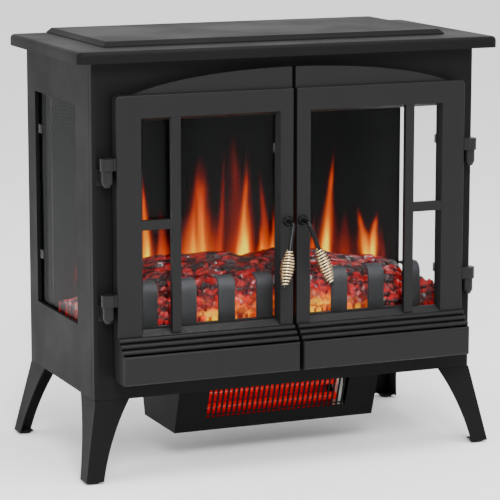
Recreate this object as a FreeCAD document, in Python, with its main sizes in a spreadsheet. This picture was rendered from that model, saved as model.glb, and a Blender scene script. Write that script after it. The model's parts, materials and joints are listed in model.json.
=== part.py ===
"""Electric stove heater with two glazed doors, a lit log set and a fan heater below.

Millimetres. X runs to the right, Y to the back and Z up. The origin is on the floor
under the middle of the overall box. Every size is a cell of the sheet called Sizes,
and every place is a formula of those sizes, so a changed cell moves all that meets it.
"""
import FreeCAD, Part
import math
import os
import re
import Sketcher

CASE = {
    "face_y": -113.1,         # outer face of the front panel
    "body_width": 558,
    "body_depth": 276,
    "body_low": 108,
    "body_high": 560,
    "sheet": 1.2,            # folded steel
    "corner": 5,             # round of the case's two front corners
    "front_return": 14,
    "rear_return": 16,
    "seam": 0.3,
    "pan_flange": 12,
    "opening_half": 236,     # firebox mouth behind the doors
    "opening_low": 190,
    "opening_high": 503,
}

TOP = {
    "top_side_reach": 26,    # from a side panel to the top's edge
    "top_front_reach": 24,
    "top_height": 15.5,
    "top_corner": 10,
    "top_round": 6,
    "top_wall": 1.5,
    "tier_side_step": 54,    # from the top's edge to its raised middle
    "tier_front_step": 58,
    "tier_height": 7,
    "tier_margin": 4,        # behind the raised middle
    "tier_bevel": 6,
}

SIDE_WINDOW = {
    "light_front": 69,       # from the front panel's face to the window
    "light_depth": 172,
    "light_low": 200,
    "light_high": 498,
    "light_lip": 5,          # turned-in edge that the glass lies on
    "side_glass_thick": 3,
    "side_glass_lap": 6,
    "side_clip_inset": 60,   # from the window's ends to its clips
}

DOOR = {
    "door_gap": 6,           # free space behind a closed door
    "door_thick": 18,
    "door_split": 5,         # between the two closed doors
    "door_width": 252,
    "door_low": 136.5,
    "door_high": 517,
    "door_corner": 6,
    "door_round": 1.5,
    "inner_stile": 19,
    "outer_stile": 34,
    "top_rail": 30,
    "window_low": 196,
    "bevel_deep": 8,
    "bevel_side": 4,
    "bevel_sill": 8,
    "muntin_width": 13,
    "muntin_inset": 0.5,
    "muntin_thick": 7,
    "side_pane": 43,         # from the outer stile to the upright bar
    "crossbar_low": 338.5,
    "arch_rise": 28.5,
    "arch_height": 50,       # half height of the ellipse that the arch is cut from
    "arch_inset": 6,
    "apron_height": 39.5,
    "apron_proud": 26,
    "apron_wall": 4,
    "apron_round": 4,
    "ridge_count": 3,
    "glass_thick": 3.2,
    "glass_lap": 7,
    "glass_play": 0.4,
    "recess_deep": 6.2,
    "clip_length": 12,
    "clip_reach": 6,
    "clip_thick": 1,
    "clip_low": 250,
    "clip_high": 430,
}

HINGE = {
    "hinge_offset": 11,      # from the door's edge to the hinge axis
    "hinge_stand": 18,       # from the front panel's face to the hinge axis
    "lug_radius": 9.5,
    "lug_height": 16.5,
    "lug_inset": 0.5,
    "upper_hinge": 419.5,    # underside of a lug
    "lower_hinge": 238.5,
    "knuckle_radius": 7.4,
    "knuckle_height": 15.5,
    "knuckle_taper": 6,
    "knuckle_tip": 4.5,
    "pin_radius": 3,
    "pin_play": 0.05,
    "pin_rise": 12,
    "knuckle_play": 0.3,
    "bracket_half": 5,
    "bracket_plate": 2,
    "bracket_plate_half": 9,
}

HANDLE = {
    "handle_x": 11,
    "handle_z": 338,
    "handle_rod": 3,         # radius
    "handle_reach": 22,
    "handle_bend": 10,
    "handle_drop": 87,
    "handle_forward": 21,    # how far the grip slopes away from the door
    "handle_lean": 16,       # degrees, outward
    "grip_tail": 4,          # rod below the coil
    "grip_groove": 1.6,      # between turns, and from the rod up to the first turn
    "grip_length": 50,
    "grip_turns": 12,
    "grip_swell": 5.4,       # how much further the coil stands out in its middle
    "boss_radius": 7.5,
    "boss_height": 4,
    "nut_radius": 5,
    "nut_height": 2.6,
    "rod_tail": 1.2,         # thread beyond the nut
}

FIRE = {
    "floor_z": 186,
    "screen_depth": 203,     # from the front panel's face
    "screen_thick": 3,
    "screen_half": 268,
    "ceiling_z": 505,
    "screen_lip": 14,
    "bed_half": 264,
    "bed_front": 28,
    "bed_back": 196,
    "bed_lip": 18,
    "bed_rise": 34,
    "bed_crest": 48,
    "bed_crest_front": 96,
    "bed_crest_back": 152,
    "bed_wall": 3,
    "bed_slope": 30,
    "grate_half": 208,
    "grate_bars": 8,
    "bar_width": 24,
    "bar_thick": 4,
    "bar_depth": 14,
    "bar_top": 260.5,
    "bar_hook": 20,
    "bar_round": 14,
    "rail_height": 13,
    "light_board_half": 200,
    "light_board_width": 14,
    "light_board_thick": 1.6,
    "lamp_radius": 2.5,
    "ember_board_depth": 110,
    "flame_board_depth": 262,
}

LOG_PLACES = {
    # end point x, depth and height, heading and rise in degrees, length, end radii
    "log_rear": (-218, 163, 242, 0, 0, 436, 24, 22),
    "log_left": (-212, 66, 236, 24, 7.5, 168, 19, 16),
    "log_right": (212, 70, 236, 156, 7.5, 160, 19, 16),
    "log_center": (30, 58, 243, 108, 12, 74, 15, 12),
}
LOG_KEYS = ("x", "depth", "height", "heading", "rise", "length", "butt", "tip")

EFFECT = {
    "rod_depth": 240,
    "rod_z": 214,
    "rod_half": 205,
    "shaft_radius": 2,
    "shaft_play": 0.05,
    "vane_count": 12,
    "vane_pitch": 32,
    "vane_width": 24,
    "vane_reach": 14,
    "vane_thick": 0.8,
    "vane_turn": 75,         # degrees from one vane to the next
    "motor_radius": 18,
    "motor_length": 22,
    "motor_gap": 2,
    "socket_depth": 8,
    "bracket_width": 24,
    "bearing_thick": 8,
}

HEATER = {
    "heater_width": 299,
    "heater_low": 41,
    "heater_front_high": 23,     # depth of the sloping front at the case's underside
    "heater_front_low": 45.5,
    "heater_back_low": 162,
    "heater_back_high": 179,
    "heater_flange": 3.6,        # of the case's floor inside the heater box
    "slot_count": 28,
    "slot_pitch": 7.6,
    "slot_width": 4.6,
    "slot_low": 25,              # up the slope from the front's lower edge
    "slot_high": 65,
    "dot_low": 20,
    "dot_high": 23.4,
    "tube_half": 106,
    "tube_radius": 5.5,
    "tube_bore": 4.3,
    "tube_depth": 64,
    "tube_low": 68,
    "tube_high": 90,
    "holder_lap": 5,
    "holder_thick": 8,
    "holder_half": 9,
    "reflector_radius": 28,
    "reflector_z": 79,
    "reflector_thick": 0.8,
    "wheel_depth": 128,
    "wheel_z": 76,
    "wheel_radius": 22,
    "wheel_left": -105,
    "wheel_length": 190,
    "wheel_blades": 20,
    "blade_chord": 7,
    "blade_thick": 0.8,
    "blade_pitch": 25,       # degrees
    "blade_inset": 1,
    "wheel_disc": 2,
    "wheel_shaft": 2.5,
    "blower_radius": 19,
    "blower_length": 32,
    "blower_gap": 3,
    "cutout_radius": 8,
    "cutout_height": 6,
    "cutout_x": 60,
}

CONTROLS = {
    "panel_left": 84,
    "panel_right": 216,
    "panel_low": 143,
    "panel_high": 181,
    "panel_bezel": 2,
    "panel_border": 6,
    "panel_depth": 10,
    "panel_play": 0.3,
    "control_z": 162,
    "rocker_x": 112,
    "rocker_half_width": 10,
    "rocker_half_height": 9,
    "rocker_proud": 5.5,
    "rocker_valley": 3.4,
    "rocker_deep": 6,
    "rocker_pivot": 2,           # depth of the pivot behind the panel's face
    "rocker_play": 0.5,
    "rocker_swing": 10,          # degrees, from level to either end
    "rocker_pin": 1.5,
    "rocker_pin_reach": 2,
    "button_flame_x": 152,
    "button_heat_x": 186,
    "button_radius": 6,
    "button_play": 0.15,
    "button_proud": 5,
    "button_flange": 7.4,
    "button_flange_thick": 1.5,
    "board_depth": 18,
    "board_thick": 1.6,
    "board_skirt": 10,           # of the board below the panel
    "relay_side": 15,
    "relay_length": 19,
    "fuse_side": 6,
    "fuse_length": 20,
    "capacitor_radius": 6,
    "capacitor_length": 20,
    "board_margin": 10,
}

LEG = {
    "leg_splay": 21,
    "leg_wall": 2,
    "leg_front_top": 48,
    "leg_side_top": 60,
    "leg_front_foot": 25,
    "leg_side_foot": 26,
    "leg_curve": 312,
    "leg_tab": 42,
    "foot_tab": 22,
    "pad_height": 3,
    "pad_radius": 9,
    "pad_inset": 12,
}

SCREWS = {
    "screw_radius": 2,
    "screw_length": 9,
    "screw_head": 3.9,
    "screw_head_height": 2.4,
    "screw_play": 0.1,
    "leg_screw_inset": 14,
    "leg_screw_pitch": 20,
    "back_screw_inset": 9,
    "back_screw_end": 20,
    "back_inset": 3,
    "gland_x": 190,
    "gland_z": 135,
    "gland_bore": 3.6,
    "gland_body": 6,
    "gland_flange": 10,
    "gland_flange_thick": 4,
    "gland_length": 12,
    "vent_slot_width": 4,
    "vent_slot_height": 46,
    "vent_slots": 22,
    "vent_low_rise": 50,
    "vent_high_drop": 90,
    "vent_pitch": 9,
    "magnet_height": 10,
    "magnet_length": 30,
    "magnet_x": 22,
    "magnet_gap": 0.4,
    "magnet_rise": 2,        # above the firebox mouth
}

LOGS = {
    f"{name}_{key}": value
    for name, numbers in LOG_PLACES.items()
    for key, value in zip(LOG_KEYS, numbers)
}

SIZES = {
    **CASE, **TOP, **SIDE_WINDOW, **DOOR, **HINGE, **HANDLE, **FIRE, **LOGS,
    **EFFECT, **HEATER, **CONTROLS, **LEG, **SCREWS,
}

# Places worked out from the sizes. A name here may be used in any formula below.
PLACES = {
    "body_half": "body_width / 2",
    "body_back": "face_y + body_depth",
    "body_middle": "face_y + body_depth / 2",
    "inside_half": "body_half - sheet - seam",
    "inside_front": "face_y + corner",
    "inside_back": "body_back - sheet - seam",
    "top_half": "body_half + top_side_reach",
    "top_front": "face_y - top_front_reach",
    "top_face": "body_high + top_height",
    "tier_half": "top_half - tier_side_step",
    "tier_back": "body_back - tier_margin",
    "tier_front": "top_front + tier_front_step",
    "tier_face": "top_face + tier_height",
    "light_near": "face_y + light_front",
    "light_far": "light_near + light_depth",
    "side_glass_face": "body_half - light_lip",
    "side_glass_inside": "side_glass_face - side_glass_thick",
    "door_back": "face_y - door_gap",
    "door_face": "door_back - door_thick",
    "door_inner": "door_split / 2",
    "door_edge": "door_inner + door_width",
    "window_inner": "door_inner + inner_stile",
    "window_outer": "door_edge - outer_stile",
    "window_high": "door_high - top_rail",
    "pane_inner": "window_inner + bevel_side",
    "pane_outer": "window_outer - bevel_side",
    "pane_low": "window_low + bevel_sill",
    "pane_high": "window_high - bevel_side",
    "muntin_outer": "window_outer - side_pane",
    "muntin_inner": "muntin_outer - muntin_width",
    "muntin_face": "door_face + muntin_inset",
    "crossbar_high": "crossbar_low + muntin_width",
    "apron_face": "door_face - apron_proud",
    "apron_high": "door_low + apron_height",
    "ridge_step": "(window_low - apron_high) / ridge_count",
    "recess_face": "door_back - recess_deep",
    "glass_inner": "pane_inner - glass_lap",
    "glass_outer": "pane_outer + glass_lap",
    "glass_low": "pane_low - glass_lap",
    "glass_high": "pane_high + glass_lap",
    "glass_back": "recess_face + glass_thick",
    "arch_center": "door_high + arch_rise - arch_height",
    "hinge_x": "door_edge + hinge_offset",
    "hinge_y": "face_y - hinge_stand",
    "screen_face": "face_y + screen_depth",
    "screen_back": "screen_face + screen_thick",
    "floor_top": "floor_z + sheet",
    "front_slope": "(heater_front_low - heater_front_high) / (body_low - heater_low)",
    "front_tilt": "atan(front_slope)",
    "front_length": "(body_low - heater_low) / cos(front_tilt)",
    "front_shift": "sheet / cos(front_tilt)",
    "wheel_right": "wheel_left + wheel_length",
    "blower_left": "wheel_right + blower_gap",
    "panel_back": "face_y + panel_depth",
    "leg_foot": "pad_height",
    "handle_tail": "door_back + nut_height + rod_tail",
    "handle_front": "door_face - handle_reach",
    "handle_hang": "sqrt((handle_forward + handle_bend)^2 + (handle_drop - handle_bend)^2)",
    "handle_slope": "atan((handle_forward + handle_bend) / (handle_drop - handle_bend))"
                    " - asin(handle_bend / handle_hang)",
    "grip_end": "handle_rod + grip_groove",
}


def formula(text):
    """Spell a formula of size and place names as an expression on the sheet."""
    def spell(word):
        name = word[0]
        if name in SIZES:
            return "Sizes." + name
        if name in PLACES:
            return "(" + formula(PLACES[name]) + ")"
        return name
    return re.sub(r"[a-z][a-z_]*[a-z]", spell, text)


def bind(thing, prop, text):
    """Tie a property to a formula of the sizes."""
    thing.setExpression(prop, formula(text))


def make_sheet(doc):
    """Write every size into the sheet, one row each, with its name as the alias."""
    sheet = doc.addObject("Spreadsheet::Sheet", "Sizes")
    for row, (name, value) in enumerate(SIZES.items(), 1):
        sheet.set(f"A{row}", name)
        sheet.set(f"B{row}", str(value))
        sheet.setAlias(f"B{row}", name)
    doc.recompute()


# ---------------------------------------------------------------- Part primitives

def box(name, x, y, z):
    """Block between a low and a high formula on each axis."""
    solid = doc.addObject("Part::Box", name)
    for axis, (low, high), side in zip("xyz", (x, y, z), ("Length", "Width", "Height")):
        bind(solid, f"Placement.Base.{axis}", low)
        bind(solid, side, f"({high}) - ({low})")
    return solid


TURNS = {
    "x": FreeCAD.Rotation(FreeCAD.Vector(0, 1, 0), 90),
    "y": FreeCAD.Rotation(FreeCAD.Vector(1, 0, 0), -90),
    "z": FreeCAD.Rotation(),
}


def lay_along(solid, axis, start, side, up):
    """Stand a round primitive along an axis. side and up are the two other coordinates."""
    places = {"x": (start, side, up), "y": (side, start, up), "z": (side, up, start)}
    solid.Placement = FreeCAD.Placement(FreeCAD.Vector(), TURNS[axis])
    for letter, place in zip("xyz", places[axis]):
        bind(solid, f"Placement.Base.{letter}", place)


def rod(name, axis, span, side, up, radius):
    """Round bar between two formulas along an axis."""
    solid = doc.addObject("Part::Cylinder", name)
    lay_along(solid, axis, span[0], side, up)
    bind(solid, "Radius", radius)
    bind(solid, "Height", f"({span[1]}) - ({span[0]})")
    return solid


def taper(name, axis, span, side, up, radii):
    """Round bar whose radius changes evenly from one end to the other."""
    solid = doc.addObject("Part::Cone", name)
    lay_along(solid, axis, span[0], side, up)
    bind(solid, "Radius1", radii[0])
    bind(solid, "Radius2", radii[1])
    bind(solid, "Height", f"({span[1]}) - ({span[0]})")
    return solid


def fuse(name, *solids):
    """Join solids that overlap or share a face."""
    joined = doc.addObject("Part::MultiFuse", name)
    joined.Shapes = list(solids)
    joined.Refine = True
    return joined


def cut(name, base, *tools):
    """Take one or more solids away from a base."""
    tool = tools[0] if len(tools) == 1 else fuse(name + "_tools", *tools)
    rest = doc.addObject("Part::Cut", name)
    rest.Base = base
    rest.Tool = tool
    return rest


def common(name, first, second):
    """Keep what two solids share."""
    shared = doc.addObject("Part::Common", name)
    shared.Base = first
    shared.Tool = second
    return shared


def group(name, *solids):
    """Hold separate solids together as one sub-part, such as a set of screws."""
    bundle = doc.addObject("Part::Compound", name)
    bundle.Links = list(solids)
    return bundle


def mirror(name, source, normal=(1, 0, 0), base_y="0"):
    """Mirror image across the middle plane, or across the plane Y = base_y."""
    image = doc.addObject("Part::Mirroring", name)
    image.Source = source
    image.Normal = normal
    bind(image, "Base.y", base_y)
    return image


# ---------------------------------------------------------------- PartDesign features

def origin_plane(body, plane):
    """One of the body's own origin planes, by its letters."""
    return next(item for item in body.Origin.OriginFeatures if item.Role == plane + "_Plane")


def polygon(*corners):
    """Closed outline through corners, each a pair of formulas."""
    def draw(sketch):
        count = len(corners)
        ring = [FreeCAD.Vector(math.cos(math.tau * step / count),
                               math.sin(math.tau * step / count), 0)
                for step in range(count)]
        first = sketch.GeometryCount
        for step in range(count):
            sketch.addGeometry(Part.LineSegment(ring[step], ring[(step + 1) % count]))
        for step, corner in enumerate(corners):
            line = first + step
            after = first + (step + 1) % count
            sketch.addConstraint(Sketcher.Constraint("Coincident", line, 2, after, 1))
            for kind, place in zip(("DistanceX", "DistanceY"), corner):
                pin = Sketcher.Constraint(kind, -1, 1, line, 1, 1.0)
                bind(sketch, f"Constraints[{sketch.addConstraint(pin)}]", place)
    return draw


def rectangle(across, up):
    """Outline between a low and a high formula each way."""
    return polygon((across[0], up[0]), (across[1], up[0]),
                   (across[1], up[1]), (across[0], up[1]))


def circle(across, up, radius):
    """Round outline about a centre given by formulas."""
    def draw(sketch):
        ring = sketch.addGeometry(Part.Circle(FreeCAD.Vector(), FreeCAD.Vector(0, 0, 1), 1))
        pins = (("DistanceX", across), ("DistanceY", up))
        for kind, place in pins:
            pin = Sketcher.Constraint(kind, -1, 1, ring, 3, 1.0)
            bind(sketch, f"Constraints[{sketch.addConstraint(pin)}]", place)
        size = sketch.addConstraint(Sketcher.Constraint("Radius", ring, 1.0))
        bind(sketch, f"Constraints[{size}]", radius)
    return draw


def sketch_on(body, name, plane, place, draw):
    """Sketch on an origin plane moved to a coordinate. XZ faces the front, along -Y."""
    sketch = body.newObject("Sketcher::SketchObject", name)
    sketch.AttachmentSupport = (origin_plane(body, plane), [""])
    sketch.MapMode = "FlatFace"
    bind(sketch, "AttachmentOffset.Base.z", f"-({place})" if plane == "XZ" else place)
    draw(sketch)
    return sketch


def pad(body, name, plane, span, draw):
    """Add an outline's prism between two coordinates across its plane."""
    low, high = span
    start = high if plane == "XZ" else low
    feature = body.newObject("PartDesign::Pad", name)
    feature.Profile = sketch_on(body, name + "_outline", plane, start, draw)
    bind(feature, "Length", f"({high}) - ({low})")
    return feature


def pocket(body, name, plane, span, draw):
    """Cut an outline's prism between two coordinates across its plane."""
    low, high = span
    start = low if plane == "XZ" else high
    feature = body.newObject("PartDesign::Pocket", name)
    feature.Profile = sketch_on(body, name + "_outline", plane, start, draw)
    bind(feature, "Length", f"({high}) - ({low})")
    return feature


def loft(body, name, kind, plane, stations):
    """Additive or subtractive loft through outlines at coordinates across a plane."""
    sketches = [sketch_on(body, f"{name}_outline_{letter}", plane, place, draw)
                for letter, (place, draw) in zip("abc", stations)]
    feature = body.newObject(f"PartDesign::{kind}Loft", name)
    feature.Profile = sketches[0]
    feature.Sections = sketches[1:]
    return feature


def repeat(body, feature, axis, length, occurrences):
    """Repeat a feature in a row along its sketch's horizontal axis."""
    row = body.newObject("PartDesign::LinearPattern", feature.Name + "_row")
    row.Originals = [feature]
    row.Direction = (feature.Profile[0], [axis])
    bind(row, "Length", length)
    bind(row, "Occurrences", occurrences)
    body.Tip = row
    return row


def edges_where(feature, test):
    """Names of the feature's edges that pass a test of the edge and the whole box."""
    whole = feature.Shape.BoundBox
    return [f"Edge{index}" for index, edge in enumerate(feature.Shape.Edges, 1)
            if test(edge.BoundBox, whole)]


def dress(body, name, kind, base, size, test):
    """Fillet or chamfer the edges that pass a test."""
    doc.recompute()
    feature = body.newObject("PartDesign::" + kind, name)
    feature.Base = (base, edges_where(base, test))
    bind(feature, "Radius" if kind == "Fillet" else "Size", size)
    return feature


def runs(edge, axis):
    """Whether an edge is straight along an axis."""
    lengths = {"X": edge.XLength, "Y": edge.YLength, "Z": edge.ZLength}
    own = lengths.pop(axis)
    return own > 0.5 and max(lengths.values()) < 1e-4


def lies_at(edge, whole, face):
    """Whether an edge lies in one face of the whole box, such as YMin."""
    axis = face[0]
    here = getattr(whole, face)
    return all(abs(getattr(edge, axis + end) - here) < 1e-4 for end in ("Min", "Max"))


# ---------------------------------------------------------------- case

def make_top_panel():
    """Pressed top with a raised, bevelled middle, hollow underneath."""
    body = doc.addObject("PartDesign::Body", "top_panel")
    rim = pad(body, "top_slab", "XY", ("body_high", "top_face"),
              rectangle(("-top_half", "top_half"), ("top_front", "body_back")))
    corners = dress(body, "top_corners", "Fillet", rim, "top_corner",
                    lambda edge, whole: runs(edge, "Z"))
    dress(body, "top_edge", "Fillet", corners, "top_round",
          lambda edge, whole: lies_at(edge, whole, "ZMax"))
    tier = pad(body, "top_tier", "XY", ("top_face", "tier_face"),
               rectangle(("-tier_half", "tier_half"), ("tier_front", "tier_back")))
    dress(body, "tier_edge", "Chamfer", tier, "tier_bevel",
          lambda edge, whole: lies_at(edge, whole, "ZMax"))
    pocket(body, "top_hollow", "XY", ("body_high", "top_face - top_wall"),
           rectangle(("-top_half + top_round", "top_half - top_round"),
                     ("top_front + top_round", "body_back - top_round")))
    pocket(body, "tier_hollow", "XY", ("body_high", "tier_face - top_wall"),
           rectangle(("-tier_half + tier_bevel + top_wall",
                      "tier_half - tier_bevel - top_wall"),
                     ("tier_front + tier_bevel + top_wall",
                      "tier_back - tier_bevel - top_wall")))
    return body


def make_top_deck():
    """Flat sheet let into the underside of the top, where the top is bolted down."""
    return box("top_deck",
               ("-top_half + top_round + seam", "top_half - top_round - seam"),
               ("top_front + top_round + seam", "body_back - top_round - seam"),
               ("body_high", "body_high + sheet"))


def make_front_panel():
    """Front sheet folded round both front corners, open at the firebox and the controls."""
    body = doc.addObject("PartDesign::Body", "front_panel")
    side = "body_half - sheet"
    back = "face_y + front_return"
    inner = "face_y + sheet"
    fold = pad(body, "front_fold", "XY", ("body_low", "body_high"), polygon(
        ("-body_half", "face_y"), ("body_half", "face_y"), ("body_half", back),
        (side, back), (side, inner), (f"-({side})", inner), (f"-({side})", back),
        ("-body_half", back)))
    outer = dress(body, "front_corners", "Fillet", fold, "corner",
                  lambda edge, whole: runs(edge, "Z") and lies_at(edge, whole, "YMin"))
    dress(body, "front_corner_insides", "Fillet", outer, "corner - sheet",
          lambda edge, whole: runs(edge, "Z") and inside_corner(edge, whole))
    pocket(body, "firebox_mouth", "XZ", ("face_y - sheet", "face_y + 2 * sheet"),
           rectangle(("-opening_half", "opening_half"), ("opening_low", "opening_high")))
    pocket(body, "control_cutout", "XZ", ("face_y - sheet", "face_y + 2 * sheet"),
           rectangle(("panel_left + panel_border - panel_play",
                      "panel_right - panel_border + panel_play"),
                     ("panel_low + panel_border - panel_play",
                      "panel_high - panel_border + panel_play")))
    return body


def inside_corner(edge, whole):
    """Whether an upright edge of the folded front is the inside of one of its two bends."""
    wall = SIZES["sheet"]
    near_front = abs(edge.YMin - whole.YMin - wall) < 1e-4
    near_side = abs(abs(edge.XMin) - whole.XMax + wall) < 1e-4
    return near_front and near_side


def make_side_panel():
    """Right side sheet with a glazed window, its turned-in lip and a rear return."""
    skin = box("side_skin", ("body_half - sheet", "body_half"),
               ("face_y + front_return + seam", "body_back"), ("body_low", "body_high"))
    back = box("side_return", ("body_half - rear_return", "body_half"),
               ("body_back - sheet", "body_back"), ("body_low", "body_high"))
    lip = box("side_lip", ("side_glass_face", "body_half"),
              ("light_near - sheet", "light_far + sheet"),
              ("light_low - sheet", "light_high + sheet"))
    light = box("side_light", ("side_glass_face - 1", "body_half + 1"),
                ("light_near", "light_far"), ("light_low", "light_high"))
    holes = [rod(f"side_hole_{index}", "y", ("body_back - sheet - 1", "body_back + 1"),
                 x, z, "screw_radius + screw_play")
             for index, (x, z) in enumerate(back_screw_places()) if index < 3]
    return cut("side_panel_right", fuse("side_folds", skin, back, lip), light, *holes)


def make_side_glass():
    """Pane held against the lip of the right side window."""
    return box("side_glass_right", ("side_glass_inside", "side_glass_face"),
               ("light_near - side_glass_lap", "light_far + side_glass_lap"),
               ("light_low - side_glass_lap", "light_high + side_glass_lap"))


def make_side_glass_clips():
    """Four spring clips behind each side pane, hooked to the side sheet."""
    front = "light_near - side_glass_lap"
    rear = "light_far + side_glass_lap"
    ends = (
        ("front", (f"{front} - clip_reach", f"{front} - seam"),
         (f"{front} - clip_reach", f"{front} + clip_reach")),
        ("rear", (f"{rear} + seam", f"{rear} + clip_reach"),
         (f"{rear} - clip_reach", f"{rear} + clip_reach")),
    )
    clips = []
    for level, height in (("low", "light_low + side_clip_inset"), ("high", "light_high - side_clip_inset")):
        span = (height, f"{height} + clip_length")
        for end, leg_span, tongue_span in ends:
            name = f"side_clip_{end}_{level}"
            leg = box(name + "_leg", ("side_glass_inside", "body_half - sheet"), leg_span, span)
            tongue = box(name + "_tongue", ("side_glass_inside - clip_thick", "side_glass_inside"),
                         tongue_span, span)
            clips.append(fuse(name, leg, tongue))
    right = group("side_clips_right", *clips)
    return group("side_glass_clips", right, mirror("side_clips_left", right))


def make_back_panel():
    """Rear cover with two rows of vents, a cable hole and its screw holes."""
    body = doc.addObject("PartDesign::Body", "back_panel")
    half = "body_half - back_inset"
    span = ("body_back", "body_back + sheet")
    through = ("body_back - sheet", "body_back + 2 * sheet")
    pad(body, "back_sheet", "XZ", span,
        rectangle((f"-({half})", half), ("body_low + back_inset", "body_high - back_inset")))
    vent_left = "-vent_pitch * (vent_slots - 1) / 2 - vent_slot_width / 2"
    for name, low in (("vent_low", "body_low + vent_low_rise"),
                      ("vent_high", "body_high - vent_high_drop")):
        slot = pocket(body, name, "XZ", through,
                      rectangle((vent_left, f"{vent_left} + vent_slot_width"),
                                (low, f"{low} + vent_slot_height")))
        repeat(body, slot, "H_Axis", "vent_pitch * (vent_slots - 1)", "vent_slots")
    pocket(body, "cable_hole", "XZ", through, circle("gland_x", "gland_z", "gland_body + 0.1"))
    for index, (x, z) in enumerate(back_screw_places()):
        pocket(body, f"back_screw_hole_{index}", "XZ", through,
               circle(x, z, "screw_radius + screw_play"))
    return body


def back_screw_places():
    """X and Z of the rear cover's screws, three up each side."""
    side = "body_half - back_screw_inset"
    heights = ("body_low + back_screw_end", "(body_low + body_high) / 2",
               "body_high - back_screw_end")
    return [(x, z) for x in (side, f"-({side})") for z in heights]


def leg_screw_places():
    """X and Y of the screws that hold the four legs to the base pan, two to a leg."""
    x = "body_half - leg_screw_inset"
    near = "leg_screw_inset + sheet"
    far = "leg_screw_inset + sheet + leg_screw_pitch"
    return [(f"{side} * ({x})", f"{end} {way} ({reach})")
            for side in (1, -1)
            for end, way in (("face_y", "+"), ("body_back", "-"))
            for reach in (near, far)]


def make_case_screws():
    """Pan-head screws of one size: six in the rear cover and eight in the legs."""
    screws = []
    for index, (x, z) in enumerate(back_screw_places()):
        head = rod(f"back_screw_head_{index}", "y",
                   ("body_back + sheet", "body_back + sheet + screw_head_height"),
                   x, z, "screw_head")
        shank = rod(f"back_screw_shank_{index}", "y",
                    ("body_back + sheet - screw_length", "body_back + sheet"),
                    x, z, "screw_radius")
        screws.append(fuse(f"back_screw_{index}", head, shank))
    for index, (x, y) in enumerate(leg_screw_places()):
        top = "body_low - leg_wall"
        head = rod(f"leg_screw_head_{index}", "z", (f"{top} - screw_head_height", top),
                   x, y, "screw_head")
        shank = rod(f"leg_screw_shank_{index}", "z", (top, f"{top} + screw_length"),
                    x, y, "screw_radius")
        screws.append(fuse(f"leg_screw_{index}", head, shank))
    return group("case_screws", *screws)


def make_base_pan():
    """Floor of the case: a tray with an opening for the heater and the leg screws' holes."""
    outer = box("pan_outer", ("-inside_half", "inside_half"), ("inside_front", "inside_back"),
                ("body_low", "body_low + pan_flange"))
    hollow = box("pan_hollow", ("-inside_half + sheet", "inside_half - sheet"),
                 ("inside_front + sheet", "inside_back - sheet"),
                 ("body_low + sheet", "body_low + pan_flange + 1"))
    mouth = box("pan_mouth", ("-heater_width / 2 + heater_flange",
                              "heater_width / 2 - heater_flange"),
                ("face_y + heater_front_high + heater_flange",
                 "face_y + heater_back_high - heater_flange"),
                ("body_low - 1", "body_low + sheet + 1"))
    holes = [rod(f"pan_hole_{index}", "z", ("body_low - 1", "body_low + sheet + 1"),
                 x, y, "screw_radius + screw_play")
             for index, (x, y) in enumerate(leg_screw_places())]
    return cut("base_pan", outer, hollow, mouth, *holes)


def make_cord_gland():
    """Cable gland in the rear cover, with an open bore."""
    flange = rod("gland_outer", "y", ("body_back + sheet", "body_back + sheet + gland_flange_thick"),
                 "gland_x", "gland_z", "gland_flange")
    neck = rod("gland_neck", "y", ("body_back + sheet - gland_length", "body_back + sheet"),
               "gland_x", "gland_z", "gland_body")
    bore = rod("gland_hole", "y",
               ("body_back - gland_length - 1", "body_back + sheet + gland_flange_thick + 1"),
               "gland_x", "gland_z", "gland_bore")
    return cut("cord_gland", fuse("gland_shape", flange, neck), bore)


# ---------------------------------------------------------------- doors

def make_door_frame():
    """Right door moulding: frame, arch, bars, sloping sill, beads and hollow apron."""
    body = doc.addObject("PartDesign::Body", "door_casting")
    leaf = pad(body, "door_leaf", "XZ", ("door_face", "door_back"),
               rectangle(("door_inner", "door_edge"), ("door_low", "door_high")))
    corner = dress(body, "door_top_corner", "Fillet", leaf, "door_corner",
                   lambda edge, whole: runs(edge, "Y") and lies_at(edge, whole, "XMax")
                   and lies_at(edge, whole, "ZMax"))
    dress(body, "door_front_edges", "Fillet", corner, "door_round",
          lambda edge, whole: lies_at(edge, whole, "YMin") and edge.ZMax > whole.ZMin + 1)
    apron = pad(body, "door_apron", "XZ", ("apron_face", "door_face + door_round"),
                rectangle(("door_inner", "door_edge"), ("door_low", "apron_high")))
    dress(body, "apron_edges", "Fillet", apron, "apron_round",
          lambda edge, whole: lies_at(edge, whole, "YMin"))
    pocket(body, "door_window", "XZ", ("door_face - 1", "door_back + 1"),
           rectangle(("pane_inner", "pane_outer"), ("pane_low", "pane_high")))
    loft(body, "door_bevel", "Subtractive", "XZ", (
        ("door_face - 0.01", rectangle(("window_inner", "window_outer"),
                                       ("window_low", "window_high"))),
        ("door_face + bevel_deep", rectangle(("pane_inner", "pane_outer"),
                                             ("pane_low", "pane_high")))))
    pocket(body, "glass_recess", "XZ", ("recess_face", "door_back + 1"),
           rectangle(("glass_inner - glass_play", "glass_outer + glass_play"),
                     ("glass_low - glass_play", "glass_high + glass_play")))
    pocket(body, "apron_hollow", "XZ", ("apron_face + apron_wall", "door_back + 1"),
           rectangle(("door_inner + apron_wall", "door_edge - apron_wall"),
                     ("door_low + apron_wall", "apron_high + 2 * apron_wall")))
    pocket(body, "handle_hole", "XZ", ("door_face - 1", "door_back + 1"),
           circle("handle_x", "handle_z", "handle_rod + screw_play"))
    return fuse("door_frame_right", body, make_arch(), *make_ridges(), *make_muntins())


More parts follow.
